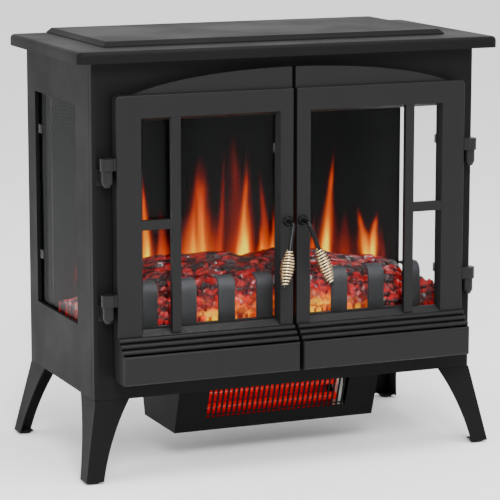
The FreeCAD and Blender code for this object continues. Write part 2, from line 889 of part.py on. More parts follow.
def make_arch():
    """Half of the shallow arch above the right door, cut from an elliptical plate."""
    ellipse = doc.addObject("Part::Ellipse", "arch_curve")
    ellipse.Placement = FreeCAD.Placement(FreeCAD.Vector(),
                                          FreeCAD.Rotation(FreeCAD.Vector(1, 0, 0), 90))
    bind(ellipse, "Placement.Base.y", "door_face + arch_inset")
    bind(ellipse, "Placement.Base.z", "arch_center")
    bind(ellipse, "MajorRadius", "door_edge")
    bind(ellipse, "MinorRadius", "arch_height")
    plate = doc.addObject("Part::Extrusion", "arch_plate")
    plate.Base = ellipse
    plate.DirMode = "Custom"
    plate.Dir = (0, 1, 0)
    plate.Solid = True
    bind(plate, "LengthFwd", "door_back - door_face - arch_inset")
    window = box("arch_half", ("door_inner", "door_edge"), ("door_face", "door_back"),
                 ("door_high - door_round - 1", "door_high + arch_rise + 1"))
    return common("door_arch", plate, window)


def make_ridges():
    """Round-nosed beads that step down from the apron to the window sill."""
    beads = []
    for index in range(SIZES["ridge_count"]):
        low = f"apron_high + {index} * ridge_step"
        middle = f"{low} + ridge_step / 2"
        nose = f"door_face - apron_proud * ({SIZES['ridge_count']} - {index}) / (ridge_count + 1)"
        slab = box(f"bead_slab_{index}", ("door_inner", "door_edge"),
                   (f"{nose} + ridge_step / 2", "door_face + 2 * door_round"),
                   (low, f"{low} + ridge_step"))
        front = rod(f"bead_nose_{index}", "x", ("door_inner", "door_edge"),
                    f"{nose} + ridge_step / 2", middle, "ridge_step / 2")
        beads += [slab, front]
    return beads


def make_muntins():
    """Upright bar the height of the window and a crossbar to the outer stile."""
    depth = ("muntin_face", "muntin_face + muntin_thick")
    upright = box("muntin_upright", ("muntin_inner", "muntin_outer"), depth,
                  ("window_low + bevel_sill / 3", "window_high + 1"))
    crossbar = box("muntin_crossbar", ("muntin_outer - 1", "window_outer + 1"), depth,
                   ("crossbar_low", "crossbar_high"))
    return [upright, crossbar]


def make_door_glass():
    """Toughened pane that drops into the recess behind the right door."""
    return box("door_glass_right", ("glass_inner", "glass_outer"),
               ("recess_face", "glass_back"), ("glass_low", "glass_high"))


def make_door_clips():
    """Four screwed clips that hold the right pane in its recess."""
    inner_edge = "glass_inner - glass_play"
    outer_edge = "glass_outer + glass_play"
    sides = (
        ("inner", (f"{inner_edge} - clip_reach * 1.5", f"glass_inner + clip_reach"),
         ("glass_inner + 1", "glass_inner + clip_reach"), f"{inner_edge} - clip_reach * 0.8"),
        ("outer", ("glass_outer - clip_reach", f"{outer_edge} + clip_reach * 1.5"),
         ("glass_outer - clip_reach", "glass_outer - 1"), f"{outer_edge} + clip_reach * 0.8"),
    )
    clips = []
    for level in ("clip_low", "clip_high"):
        span = (level, f"{level} + clip_length")
        for side, plate_span, foot_span, screw_x in sides:
            name = f"door_{level}_{side}"
            plate = box(name + "_plate", plate_span, ("door_back", "door_back + clip_thick"), span)
            foot = box(name + "_foot", foot_span, ("glass_back", "door_back"), span)
            head = rod(name + "_head", "y",
                       ("door_back + clip_thick", "door_back + 2.5 * clip_thick"),
                       screw_x, f"{level} + clip_length / 2", "2.5 * clip_thick")
            clips.append(fuse(name, plate, foot, head))
    return group("door_glass_clips_right", *clips)


def make_magnets():
    """Two magnetic catches on the front sheet, one behind each door's top rail."""
    right = box("magnet_right", ("magnet_x", "magnet_x + magnet_length"),
                ("door_back + magnet_gap", "face_y"),
                ("opening_high + magnet_rise",
                 "opening_high + magnet_rise + magnet_height"))
    return group("magnet_catches", right, mirror("magnet_left", right))


# ---------------------------------------------------------------- lift-off hinges

def hinge_heights():
    """Name and lug underside of each hinge on a door."""
    return (("upper", "upper_hinge"), ("lower", "lower_hinge"))


def make_hinge_lugs():
    """Right door's two lugs, each a bored barrel on a block against the door's edge."""
    lugs = []
    for name, low in hinge_heights():
        span = (low, f"{low} + lug_height")
        barrel = rod(f"lug_barrel_{name}", "z", span, "hinge_x", "hinge_y", "lug_radius")
        block = box(f"lug_block_{name}", ("door_edge", "hinge_x"),
                    ("door_face + lug_inset", "hinge_y + lug_radius"), span)
        bore = rod(f"lug_bore_{name}", "z", (f"{low} - 1", f"{low} + pin_rise + 2 * knuckle_play"),
                   "hinge_x", "hinge_y", "pin_radius + pin_play")
        lugs.append(cut(f"lug_{name}", fuse(f"lug_shape_{name}", barrel, block), bore))
    return group("hinge_lugs_right", *lugs)


def make_hinge_knuckles():
    """Four knuckles on brackets fixed to the front sheet, tapered below."""
    knuckles = []
    for name, lug_low in hinge_heights():
        high = f"({lug_low} - knuckle_play)"
        low = f"({high} - knuckle_height)"
        barrel = rod(f"knuckle_barrel_{name}", "z", (low, high), "hinge_x", "hinge_y",
                     "knuckle_radius")
        tip = taper(f"knuckle_tip_{name}", "z", (f"{low} - knuckle_taper", low),
                    "hinge_x", "hinge_y", ("knuckle_tip", "knuckle_radius"))
        web = box(f"knuckle_web_{name}", ("hinge_x - bracket_half", "hinge_x + bracket_half"),
                  ("hinge_y", "face_y"), (low, high))
        plate = box(f"knuckle_plate_{name}",
                    ("hinge_x - bracket_plate_half", "hinge_x + bracket_plate_half"),
                    ("face_y - bracket_plate", "face_y"), (f"{low} - knuckle_taper", high))
        hole = rod(f"knuckle_hole_{name}", "z", (f"{high} - pin_rise", f"{high} + 1"),
                   "hinge_x", "hinge_y", "pin_radius")
        shape = fuse(f"knuckle_shape_{name}", barrel, tip, web, plate)
        knuckles.append(cut(f"knuckle_{name}", shape, hole))
    right = group("knuckles_right", *knuckles)
    return group("hinge_knuckles", right, mirror("knuckles_left", right))


def make_hinge_pins():
    """Four pins pressed into the knuckles and standing up into the lugs."""
    pins = [rod(f"pin_{name}", "z", (f"{low} - knuckle_play - pin_rise", f"{low} + pin_rise"),
                "hinge_x", "hinge_y", "pin_radius")
            for name, low in hinge_heights()]
    right = group("pins_right", *pins)
    return group("hinge_pins", right, mirror("pins_left", right))


# ---------------------------------------------------------------- handles

def make_handle_rod():
    """Bent rod: straight out of the door, then down and away along the grip."""
    body = doc.addObject("PartDesign::Body", "handle_rod_right")
    path = sketch_on(body, "handle_path", "YZ", "0", draw_handle_path)
    disc = sketch_on(body, "handle_section", "XZ", "handle_tail", circle("0", "0", "handle_rod"))
    bend = body.newObject("PartDesign::AdditivePipe", "handle_bar")
    bend.Profile = disc
    bend.Spine = (path, ["Edge1", "Edge2", "Edge3"])
    bind(body, "Placement", "create(<<placement>>; create(<<vector>>; handle_x; 0; handle_z);"
         " create(<<rotation>>; create(<<vector>>; 0; -1; 0); handle_lean))")
    return body


def draw_handle_path(sketch):
    """Level run, tangent bend and sloping run, in the plane across the door."""
    radius = SIZES["handle_bend"]
    drop = SIZES["handle_drop"]
    front = SIZES["face_y"] - 2 * SIZES["handle_reach"]
    point = FreeCAD.Vector
    ring = Part.Circle(point(front + radius, -radius, 0), point(0, 0, 1), radius)
    sketch.addGeometry(Part.LineSegment(point(0, 0, 0), point(front + radius, 0, 0)))
    sketch.addGeometry(Part.ArcOfCircle(ring, math.pi / 2, math.pi * 0.93))
    sketch.addGeometry(Part.LineSegment(point(front, -radius, 0), point(front - 20, -drop, 0)))
    rule = Sketcher.Constraint
    sketch.addConstraint(rule("Tangent", 0, 2, 1, 1))
    sketch.addConstraint(rule("Tangent", 1, 2, 2, 1))
    sketch.addConstraint(rule("Horizontal", 0))
    pins = (
        (rule("DistanceY", -1, 1, 0, 1, 1.0), "0"),
        (rule("DistanceX", -1, 1, 0, 1, 1.0), "handle_tail"),
        (rule("Radius", 1, radius), "handle_bend"),
        (rule("DistanceX", -1, 1, 0, 2, front), "handle_front + handle_bend"),
        (rule("DistanceY", -1, 1, 2, 2, -drop), "-handle_drop"),
        (rule("DistanceX", -1, 1, 2, 2, front), "handle_front - handle_forward"),
    )
    for pin, place in pins:
        bind(sketch, f"Constraints[{sketch.addConstraint(pin)}]", place)


def make_handle_coil(handle):
    """Grip of the right handle: the outer shape of a barrel coil wound on its rod."""
    body = doc.addObject("PartDesign::Body", "handle_coil_right")
    turns = SIZES["grip_turns"]
    pitch = f"grip_length / {turns}"
    corners = [("handle_rod", "grip_length"), ("handle_rod", "0")]
    for turn in range(turns):
        crest = f"grip_end + grip_swell * sin(180 * {turn + 0.5} / {turns})"
        corners.append((f"{crest} - grip_groove", f"{turn} * {pitch}"))
        corners.append((crest, f"{turn + 0.5} * {pitch}"))
    barrel = body.newObject("PartDesign::Revolution", "coil_shape")
    barrel.Profile = sketch_on(body, "coil_outline", "XZ", "0", polygon(*corners))
    barrel.ReferenceAxis = (barrel.Profile[0], ["V_Axis"])
    barrel.Angle = 360
    bind(body, "Placement", f"{handle.Name}.Placement * create(<<placement>>;"
         " create(<<vector>>; 0; handle_front - handle_forward + sin(handle_slope) * grip_tail;"
         " -handle_drop + cos(handle_slope) * grip_tail);"
         " create(<<rotation>>; create(<<vector>>; 1; 0; 0); -(handle_slope)))")
    return body


def make_handle_fixings():
    """Collar in front of the right door and nut behind it, both on the handle's rod."""
    collar = taper("handle_collar", "y", ("door_face - boss_height", "door_face"),
                   "handle_x", "handle_z", ("handle_rod + 2", "boss_radius"))
    nut = rod("handle_nut", "y", ("door_back", "door_back + nut_height"),
              "handle_x", "handle_z", "nut_radius")
    bore = rod("handle_bore", "y", ("door_face - boss_height - 1", "door_back + nut_height + 1"),
               "handle_x", "handle_z", "handle_rod")
    return group("handle_fixings_right", cut("handle_collar_bored", collar, bore),
                 cut("handle_nut_bored", nut, bore))


# ---------------------------------------------------------------- firebox and fire

def make_firebox_floor():
    """Shelf under the fire, turned up behind the screen and open above the lights."""
    shelf = box("floor_sheet", ("-inside_half", "inside_half"), ("inside_front", "inside_back"),
                ("floor_z", "floor_top"))
    stop = box("floor_stop", ("-screen_half", "screen_half"), ("screen_back", "screen_back + sheet"),
               ("floor_top", "floor_top + screen_lip"))
    return fuse("firebox_floor", shelf, stop)


def make_firebox_ceiling():
    """Sheet over the fire, turned down behind the top of the screen."""
    sheet = box("ceiling_sheet", ("-inside_half", "inside_half"),
                ("inside_front", "screen_back + sheet"), ("ceiling_z", "ceiling_z + sheet"))
    stop = box("ceiling_stop", ("-screen_half", "screen_half"),
               ("screen_back", "screen_back + sheet"), ("ceiling_z - screen_lip", "ceiling_z"))
    return fuse("firebox_ceiling", sheet, stop)


def make_flame_screen():
    """Dark diffusing sheet that the flames are thrown onto from behind."""
    return box("flame_screen", ("-screen_half", "screen_half"), ("screen_face", "screen_back"),
               ("floor_top", "ceiling_z"))


def make_logs():
    """Tapered logs: one along the back, two slanting in from the ends, one across."""
    logs = []
    for name in LOG_PLACES:
        log = doc.addObject("Part::Cone", name if name == "log_rear" else name + "_round")
        bind(log, "Radius1", f"{name}_butt")
        bind(log, "Radius2", f"{name}_tip")
        bind(log, "Height", f"{name}_length")
        bind(log, "Placement", f"create(<<placement>>; create(<<vector>>; {name}_x;"
             f" face_y + {name}_depth; {name}_height);"
             f" create(<<rotation>>; {name}_heading; 90 - {name}_rise; 0))")
        logs.append(log)
    rear, left, right, center = logs
    return [rear, cut("log_left", left, rear), cut("log_right", right, rear),
            cut("log_center", center, rear, left, right)]


def make_ember_bed(logs):
    """Moulded bed of embers: a hollow ridge across the firebox with the logs let into it."""
    body = doc.addObject("PartDesign::Body", "ember_ridge")
    low = "floor_top"
    corners = (
        ("bed_front", low), ("bed_front", f"{low} + bed_lip"),
        ("bed_front + bed_slope", f"{low} + bed_rise"),
        ("bed_crest_front", f"{low} + bed_crest"), ("bed_crest_back", f"{low} + bed_crest"),
        ("bed_back", f"{low} + bed_rise"), ("bed_back", low),
    )
    pad(body, "ember_shape", "YZ", ("-bed_half", "bed_half"),
        polygon(*((f"face_y + {depth}", height) for depth, height in corners)))
    inner = (
        ("bed_front + bed_wall", f"{low} - 1"),
        ("bed_front + bed_wall", f"{low} + bed_lip - bed_wall"),
        ("bed_front + bed_slope", f"{low} + bed_rise - bed_wall"),
        ("bed_crest_front", f"{low} + bed_crest - bed_wall"),
        ("bed_crest_back", f"{low} + bed_crest - bed_wall"),
        ("bed_back - bed_wall", f"{low} + bed_rise - bed_wall"),
        ("bed_back - bed_wall", f"{low} - 1"),
    )
    pocket(body, "ember_hollow", "YZ", ("-bed_half + bed_wall", "bed_half - bed_wall"),
           polygon(*((f"face_y + {depth}", height) for depth, height in inner)))
    return cut("ember_bed", body, *logs)


def make_grate():
    """Cast fire guard: a rail with eight flat bars that curl back at the top."""
    body = doc.addObject("PartDesign::Body", "grate")
    near = "face_y + bar_depth"
    low = "floor_top"
    profile = pad(body, "grate_profile", "YZ", ("-grate_half", "grate_half"), polygon(
        (near, low), (near, "bar_top"), (f"{near} + bar_hook", "bar_top"),
        (f"{near} + bar_hook", "bar_top - bar_thick"), (f"{near} + bar_thick", "bar_top - bar_thick"),
        (f"{near} + bar_thick", f"{low} + rail_height"),
        (f"{near} + 2 * bar_thick", f"{low} + rail_height"), (f"{near} + 2 * bar_thick", low)))
    outer = dress(body, "grate_curl", "Fillet", profile, "bar_round",
                  lambda edge, whole: runs(edge, "X") and lies_at(edge, whole, "ZMax")
                  and lies_at(edge, whole, "YMin"))
    dress(body, "grate_curl_inside", "Fillet", outer, "bar_round - bar_thick",
          lambda edge, whole: runs(edge, "X") and curl_inside(edge, whole))
    bars = SIZES["grate_bars"]
    pitch = f"(2 * grate_half - bar_width) / {bars - 1}"
    gap = pocket(body, "grate_gap", "XZ", (f"{near} - 1", f"{near} + bar_hook + 1"),
                 rectangle(("-grate_half + bar_width", f"-grate_half + {pitch}"),
                           (f"{low} + rail_height", "bar_top + 1")))
    repeat(body, gap, "H_Axis", f"{bars - 2} * {pitch}", "grate_bars - 1")
    return body


def curl_inside(edge, whole):
    """Whether an edge is the inner line where the bars turn back at the top."""
    wall = SIZES["bar_thick"]
    return abs(whole.ZMax - edge.ZMax - wall) < 1e-4 and abs(edge.YMin - whole.YMin - wall) < 1e-4


def make_light_boards():
    """Two strips of lamps on the shelf: one under the embers, one behind the screen."""
    boards = []
    for name in ("ember_board", "flame_board"):
        depth = f"face_y + {name}_depth"
        strip = box(name, ("-light_board_half", "light_board_half"),
                    (f"{depth} - light_board_width / 2", f"{depth} + light_board_width / 2"),
                    ("floor_top", "floor_top + light_board_thick"))
        lamps = [rod(f"{name}_lamp_{index}", "z",
                     ("floor_top + light_board_thick", "floor_top + 2 * light_board_thick"),
                     f"light_board_half * {place}", depth, "lamp_radius")
                 for index, place in enumerate((-0.9, -0.6, -0.3, 0, 0.3, 0.6, 0.9))]
        boards.append(fuse(name + "_built", strip, *lamps))
    return group("light_boards", *boards)


# ---------------------------------------------------------------- flame effect drive

def make_flicker_rod():
    """Turning rod with bent vanes that break up the light behind the screen."""
    depth = "face_y + rod_depth"
    shaft = rod("flicker_shaft", "x", ("-rod_half - socket_depth", "rod_half + socket_depth"),
                depth, "rod_z", "shaft_radius")
    vanes = []
    for index in range(SIZES["vane_count"]):
        middle = f"({index} - (vane_count - 1) / 2) * vane_pitch"
        vane = doc.addObject("Part::Box", f"vane_{index}")
        bind(vane, "Length", "vane_width")
        bind(vane, "Width", "2 * vane_reach")
        bind(vane, "Height", "vane_thick")
        bind(vane, "Placement", f"create(<<placement>>; create(<<vector>>; {middle}; {depth};"
             f" rod_z); create(<<rotation>>; create(<<vector>>; 1; 0; 0); {index} * vane_turn))"
             " * create(<<placement>>; create(<<vector>>; -vane_width / 2; -vane_reach;"
             " -vane_thick / 2); create(<<rotation>>; 0; 0; 0))")
        vanes.append(vane)
    return fuse("flicker_rod", shaft, *vanes)


def make_flicker_motor():
    """Slow gear motor on a foot, driving the right end of the rod."""
    depth = "face_y + rod_depth"
    left = "rod_half + motor_gap"
    drum = rod("flicker_drum", "x", (left, f"{left} + motor_length"), depth, "rod_z",
               "motor_radius")
    foot = box("flicker_foot", (f"{left} + motor_length / 4", f"{left} + motor_length * 3 / 4"),
               (f"{depth} - bracket_width / 2", f"{depth} + bracket_width / 2"),
               ("floor_top", "rod_z"))
    socket = rod("flicker_socket", "x", (f"{left} - 1", "rod_half + socket_depth + motor_gap"),
                 depth, "rod_z", "shaft_radius + shaft_play")
    return cut("flicker_motor", fuse("flicker_motor_shape", drum, foot), socket)


def make_rod_bearing():
    """Bush block that carries the left end of the flicker rod."""
    depth = "face_y + rod_depth"
    right = "-rod_half - motor_gap"
    block = box("bearing_block", (f"{right} - bearing_thick", right),
                (f"{depth} - bracket_width / 2", f"{depth} + bracket_width / 2"),
                ("floor_top", "rod_z + bracket_width / 2"))
    bore = rod("bearing_bore", "x", (f"{right} - bearing_thick - 1", f"{right} + 1"),
               depth, "rod_z", "shaft_radius + shaft_play")
    return cut("rod_bearing", block, bore)


# ---------------------------------------------------------------- heater

def make_heater_housing():
    """Sheet box under the case, open above and in front, that holds the heater."""
    body = doc.addObject("PartDesign::Body", "heater_housing")
    half = "heater_width / 2"
    front = "face_y + front_shift"
    pad(body, "heater_box", "YZ", (f"-{half}", half), polygon(
        (f"{front} + heater_front_high", "body_low"), (f"{front} + heater_front_low", "heater_low"),
        ("face_y + heater_back_low", "heater_low"), ("face_y + heater_back_high", "body_low")))
    pocket(body, "heater_room", "YZ", (f"-{half} + sheet", f"{half} - sheet"), polygon(
        ("face_y", "body_low + 1"), ("face_y", "heater_low + sheet"),
        ("face_y + heater_back_low - sheet", "heater_low + sheet"),
        ("face_y + heater_back_high - sheet", "body_low"),
        ("face_y + heater_back_high - sheet", "body_low + 1")))
    return body


def make_heater_front():
    """Sloping front of the heater box with a row of tall slots over a row of short ones."""
    body = doc.addObject("PartDesign::Body", "heater_front")
    half = "heater_width / 2"
    pad(body, "heater_face", "XZ", ("0", "sheet"),
        rectangle((f"-{half}", half), ("0", "front_length - sheet * front_slope")))
    left = "-slot_pitch * (slot_count - 1) / 2 - slot_width / 2"
    for name in ("slot", "dot"):
        hole = pocket(body, f"heater_{name}", "XZ", ("-1", "sheet + 1"),
                      rectangle((left, f"{left} + slot_width"), (f"{name}_low", f"{name}_high")))
        repeat(body, hole, "H_Axis", "slot_pitch * (slot_count - 1)", "slot_count")
    bind(body, "Placement", "create(<<placement>>; create(<<vector>>; 0;"
         " face_y + heater_front_low; heater_low);"
         " create(<<rotation>>; create(<<vector>>; 1; 0; 0); front_tilt))")
    return body


def make_quartz_tubes():
    """Two quartz tubes side by side along the heater."""
    tubes = []
    for name in ("tube_low", "tube_high"):
        depth = "face_y + tube_depth"
        outer = rod(name + "_outer", "x", ("-tube_half", "tube_half"), depth, name, "tube_radius")
        inner = rod(name + "_bore", "x", ("-tube_half - 1", "tube_half + 1"), depth, name,
                    "tube_bore")
        tubes.append(cut(name + "_glass", outer, inner))
    return group("quartz_tubes", *tubes)


def make_tube_holders():
    """Ceramic block at each end of the tubes, standing on the heater's floor."""
    depth = "face_y + tube_depth"
    inner = "tube_half - holder_lap"
    block = box("holder_block", (inner, f"{inner} + holder_thick"),
                (f"{depth} - holder_half", f"{depth} + holder_half"),
                ("heater_low + sheet", "tube_high + holder_half"))
    seats = [rod(f"holder_seat_{name}", "x", (f"{inner} - 1", "tube_half"), depth, name,
                 "tube_radius") for name in ("tube_low", "tube_high")]
    right = cut("holder_right", block, *seats)
    return group("tube_holders", right, mirror("holder_left", right))


def make_heat_reflector():
    """Half-round bright sheet behind the quartz tubes."""
    inner = "tube_half - holder_lap - seam"
    span = (f"-({inner})", inner)
    depth = "face_y + tube_depth"
    outer = rod("reflector_outer", "x", span, depth, "reflector_z",
                "reflector_radius + reflector_thick")
    hollow = rod("reflector_hollow", "x", (f"-({inner}) - 1", f"{inner} + 1"), depth,
                 "reflector_z", "reflector_radius")
    front = box("reflector_front", (f"-({inner}) - 1", f"{inner} + 1"),
                (f"{depth} - reflector_radius - 5", depth), ("heater_low", "body_low + 10"))
    return cut("heat_reflector", outer, hollow, front)


def make_thermal_cutout():
    """Round cut-out switch on the back of the reflector."""
    depth = "face_y + tube_depth + reflector_radius + reflector_thick"
    return rod("thermal_cutout", "y", (f"{depth} + seam / 3", f"{depth} + cutout_height"),
               "cutout_x", "reflector_z", "cutout_radius")


def make_blower_wheel():
    """Cross-flow wheel: a ring of blades between two discs, on its shaft."""
    depth = "face_y + wheel_depth"
    shaft = rod("wheel_axle", "x", ("wheel_left - 8", "wheel_right + blower_gap + socket_depth"),
                depth, "wheel_z", "wheel_shaft")
    discs = [rod(f"wheel_disc_{end}", "x", span, depth, "wheel_z", "wheel_radius")
             for end, span in (("left", ("wheel_left", "wheel_left + wheel_disc")),
                               ("right", ("wheel_right - wheel_disc", "wheel_right")))]
    blades = []
    for index in range(SIZES["wheel_blades"]):
        blade = doc.addObject("Part::Box", f"blade_{index}")
        bind(blade, "Length", "wheel_length - wheel_disc")
        bind(blade, "Width", "blade_thick")
        bind(blade, "Height", "blade_chord")
        bind(blade, "Placement", "create(<<placement>>; create(<<vector>>;"
             f" wheel_left + wheel_disc / 2; {depth}; wheel_z); create(<<rotation>>;"
             f" create(<<vector>>; 1; 0; 0); {index} * 360 / wheel_blades))"
             " * create(<<placement>>; create(<<vector>>; 0; 0; wheel_radius - blade_chord - blade_inset);"
             " create(<<rotation>>; create(<<vector>>; 1; 0; 0); blade_pitch))")
        blades.append(blade)
    return fuse("blower_wheel", shaft, *discs, *blades)


def make_blower_motor():
    """Blower motor on a foot, bored for the wheel's shaft."""
    depth = "face_y + wheel_depth"
    span = ("blower_left", "blower_left + blower_length")
    drum = rod("blower_drum", "x", span, depth, "wheel_z", "blower_radius")
    foot = box("blower_foot", ("blower_left + 6", "blower_left + blower_length - 6"),
               (f"{depth} - bracket_width / 2", f"{depth} + bracket_width / 2"),
               ("heater_low + sheet", "wheel_z"))
    socket = rod("blower_socket", "x", ("blower_left - 1", "blower_left + socket_depth + 2"),
                 depth, "wheel_z", "wheel_shaft + shaft_play")
    return cut("blower_motor", fuse("blower_shape", drum, foot), socket)


# ---------------------------------------------------------------- controls behind the doors

def make_control_panel():
    """Bezel in the front sheet, bored for the buttons and windowed for the rocker."""
    face = box("panel_face", ("panel_left", "panel_right"), ("face_y - panel_bezel", "face_y"),
               ("panel_low", "panel_high"))
    block = box("panel_block", ("panel_left + panel_border", "panel_right - panel_border"),
                ("face_y", "panel_back"),
                ("panel_low + panel_border", "panel_high - panel_border"))
    tools = [box("rocker_window",
                 ("rocker_x - rocker_half_width - rocker_play",
                  "rocker_x + rocker_half_width + rocker_play"),
                 ("face_y - panel_bezel - 1", "panel_back + 1"),
                 ("control_z - rocker_half_height - 4 * rocker_play",
                  "control_z + rocker_half_height + 4 * rocker_play"))]
    reach = "rocker_half_width + rocker_pin_reach + rocker_play"
    tools.append(rod("rocker_pin_hole", "x", (f"rocker_x - ({reach})", f"rocker_x + {reach}"),
                     "face_y + rocker_pivot", "control_z", "rocker_pin + pin_play"))
    for name in ("button_flame", "button_heat"):
        tools.append(rod(name + "_hole", "y", ("face_y - panel_bezel - 1", "panel_back + 1"),
                         name + "_x", "control_z", "button_radius + button_play"))
    return cut("control_panel", fuse("panel_shape", face, block), *tools)


def make_power_switch():
    """Rocker on two stub pins, stored tipped to its on side."""
    body = doc.addObject("PartDesign::Body", "power_switch")
    pad(body, "rocker_cap", "YZ", ("-rocker_half_width", "rocker_half_width"), polygon(
        ("-rocker_proud", "rocker_half_height"), ("-rocker_valley", "0"),
        ("-rocker_proud", "-rocker_half_height"), ("0", "-rocker_half_height"),
        ("rocker_deep", "-rocker_half_height / 2"), ("rocker_deep", "rocker_half_height / 2"),
        ("0", "rocker_half_height")))
    pad(body, "rocker_pins", "YZ", ("-rocker_half_width - rocker_pin_reach",
                                    "rocker_half_width + rocker_pin_reach"),
        circle("0", "0", "rocker_pin"))
    bind(body, "Placement", "create(<<placement>>; create(<<vector>>; rocker_x;"
         " face_y + rocker_pivot; control_z);"
         " create(<<rotation>>; create(<<vector>>; 1; 0; 0); rocker_swing))")
    return body


def make_button(name):
    """Round push button with a flange that stops it behind the panel."""
    cap = rod(name + "_cap", "y", ("face_y - button_proud", "panel_back + seam"),
              name + "_x", "control_z", "button_radius")
    flange = rod(name + "_flange", "y", ("panel_back + seam",
                                         "panel_back + seam + button_flange_thick"),
                 name + "_x", "control_z", "button_flange")
    return fuse(name, cap, flange)


def make_control_board():
    """Circuit board behind the panel with a relay, a fuse and a capacitor."""
    face = "face_y + board_depth"
    back = f"{face} + board_thick"
    sheet = box("board_sheet", ("panel_left", "panel_right"), (face, back),
                ("panel_low - board_skirt", "panel_high - seam"))
    relay_left = "panel_left + board_margin"
    relay = box("board_relay", (relay_left, f"{relay_left} + relay_length"),
                (back, f"{back} + relay_side"), ("panel_low", "panel_low + relay_side"))
    fuse_left = f"{relay_left} + relay_length + board_margin"
    fuse_body = box("board_fuse", (fuse_left, f"{fuse_left} + fuse_length"),
                    (back, f"{back} + fuse_side"), ("panel_low", "panel_low + fuse_side"))
    can = rod("board_capacitor", "y", (back, f"{back} + capacitor_length"),
              "panel_right - board_margin - capacitor_radius", "control_z", "capacitor_radius")
    return fuse("control_board", sheet, relay, fuse_body, can)


# ---------------------------------------------------------------- legs

def leg_outline(corner_x, corner_y, front, side):
    """Angle section with its corner at a point: a front arm to -X and a side arm to +Y."""
    return polygon(
        (corner_x, corner_y), (corner_x, f"{corner_y} + {side}"),
        (f"{corner_x} - leg_wall", f"{corner_y} + {side}"),
        (f"{corner_x} - leg_wall", f"{corner_y} + leg_wall"),
        (f"{corner_x} - {front}", f"{corner_y} + leg_wall"),
        (f"{corner_x} - {front}", corner_y))


def edge_curve(top, foot, side):
    """Centre of the large circle through an arm's upper and lower ends."""
    rise = "(body_low - leg_foot)"
    run = f"(({top}) - ({foot}))"
    chord = f"sqrt({run}^2 + {rise}^2)"
    away = f"sqrt(leg_curve^2 - {chord}^2 / 4)"
    across = f"(({top}) + ({foot})) / 2 {side} {away} * {rise} / {chord}"
    way = "+" if side == "-" else "-"
    up = f"(body_low + leg_foot) / 2 {way} {away} * {run} / {chord}"
    return across, up


def make_leg():
    """Front right leg: a folded angle, splayed both ways, with curved edges and two tabs."""
    body = doc.addObject("PartDesign::Body", "leg_angle")
    foot_x = "body_half + leg_splay"
    foot_y = "face_y - leg_splay"
    loft(body, "leg_fold", "Additive", "XY", (
        ("leg_foot", leg_outline(foot_x, foot_y, "leg_front_foot", "leg_side_foot")),
        ("body_low", leg_outline("body_half", "face_y", "leg_front_top", "leg_side_top"))))
    across, up = edge_curve("body_half - leg_front_top", f"{foot_x} - leg_front_foot", "-")
    pocket(body, "leg_front_curve", "XZ", (f"{foot_y} - 1", "face_y + leg_wall + 1"),
           circle(across, up, "leg_curve"))
    across, up = edge_curve("face_y + leg_side_top", f"{foot_y} + leg_side_foot", "+")
    pocket(body, "leg_side_curve", "YZ", ("body_half - leg_wall - 1", f"{foot_x} + 1"),
           circle(across, up, "leg_curve"))
    top_tab = box("leg_top_tab", ("body_half - leg_tab", "body_half - leg_wall / 2"),
                  ("face_y + leg_wall / 2", "face_y + leg_tab"),
                  ("body_low - leg_wall", "body_low"))
    low_tab = box("leg_foot_tab", (f"{foot_x} - foot_tab", f"{foot_x} - leg_wall / 2"),
                  (f"{foot_y} + leg_wall / 2", f"{foot_y} + foot_tab"),
                  ("leg_foot", "leg_foot + leg_wall"))
    holes = [rod(f"leg_hole_{index}", "z", ("body_low - leg_wall - 1", "body_low + 1"),
                 "body_half - leg_screw_inset", f"face_y + leg_screw_inset + sheet + {reach}",
                 "screw_radius + screw_play")
             for index, reach in enumerate(("0", "leg_screw_pitch"))]
    return cut("leg_front_right", fuse("leg_shape", body, top_tab, low_tab), *holes)


def make_foot_pads():
    """Rubber pad under each leg."""
    pads = []
    for end, y in (("front", "face_y - leg_splay + pad_inset"),
                   ("rear", "body_back + leg_splay - pad_inset")):
        for side, sign in (("right", 1), ("left", -1)):
            pads.append(rod(f"pad_{end}_{side}", "z", ("0", "pad_height"),
                            f"{sign} * (body_half + leg_splay - pad_inset)", y, "pad_radius"))
    return group("foot_pads", *pads)


# ---------------------------------------------------------------- the whole stove

def make_case_parts():
    side_panel = make_side_panel()
    side_glass = make_side_glass()
    return [
        make_top_panel(), make_top_deck(), make_front_panel(),
        side_panel, mirror("side_panel_left", side_panel),
        side_glass, mirror("side_glass_left", side_glass), make_side_glass_clips(),
        make_back_panel(), make_base_pan(), make_case_screws(), make_cord_gland(),
    ]


def make_door_parts():
    handle = make_handle_rod()
    right = [
        make_door_frame(), make_door_glass(), make_door_clips(), make_hinge_lugs(),
        handle, make_handle_coil(handle), make_handle_fixings(),
    ]
    left = [mirror(part.Label.replace("_right", "_left"), part) for part in right]
    return right + left + [make_hinge_knuckles(), make_hinge_pins(), make_magnets()]


def make_fire_parts():
    logs = make_logs()
    return logs + [
        make_ember_bed(logs), make_grate(), make_firebox_floor(), make_firebox_ceiling(),
        make_flame_screen(), make_light_boards(), make_flicker_rod(), make_flicker_motor(),
        make_rod_bearing(),
    ]


def make_heater_parts():
    return [
        make_heater_housing(), make_heater_front(), make_quartz_tubes(), make_tube_holders(),
        make_heat_reflector(), make_thermal_cutout(), make_blower_wheel(), make_blower_motor(),
    ]


def make_control_parts():
    return [
        make_control_panel(), make_power_switch(), make_button("button_flame"),
        make_button("button_heat"), make_control_board(),
    ]


def make_leg_parts():
    front_right = make_leg()
    front_left = mirror("leg_front_left", front_right)
    rear = [mirror(leg.Label.replace("front", "rear"), leg, (0, 1, 0), "body_middle")
            for leg in (front_right, front_left)]
    return [front_right, front_left, *rear, make_foot_pads()]


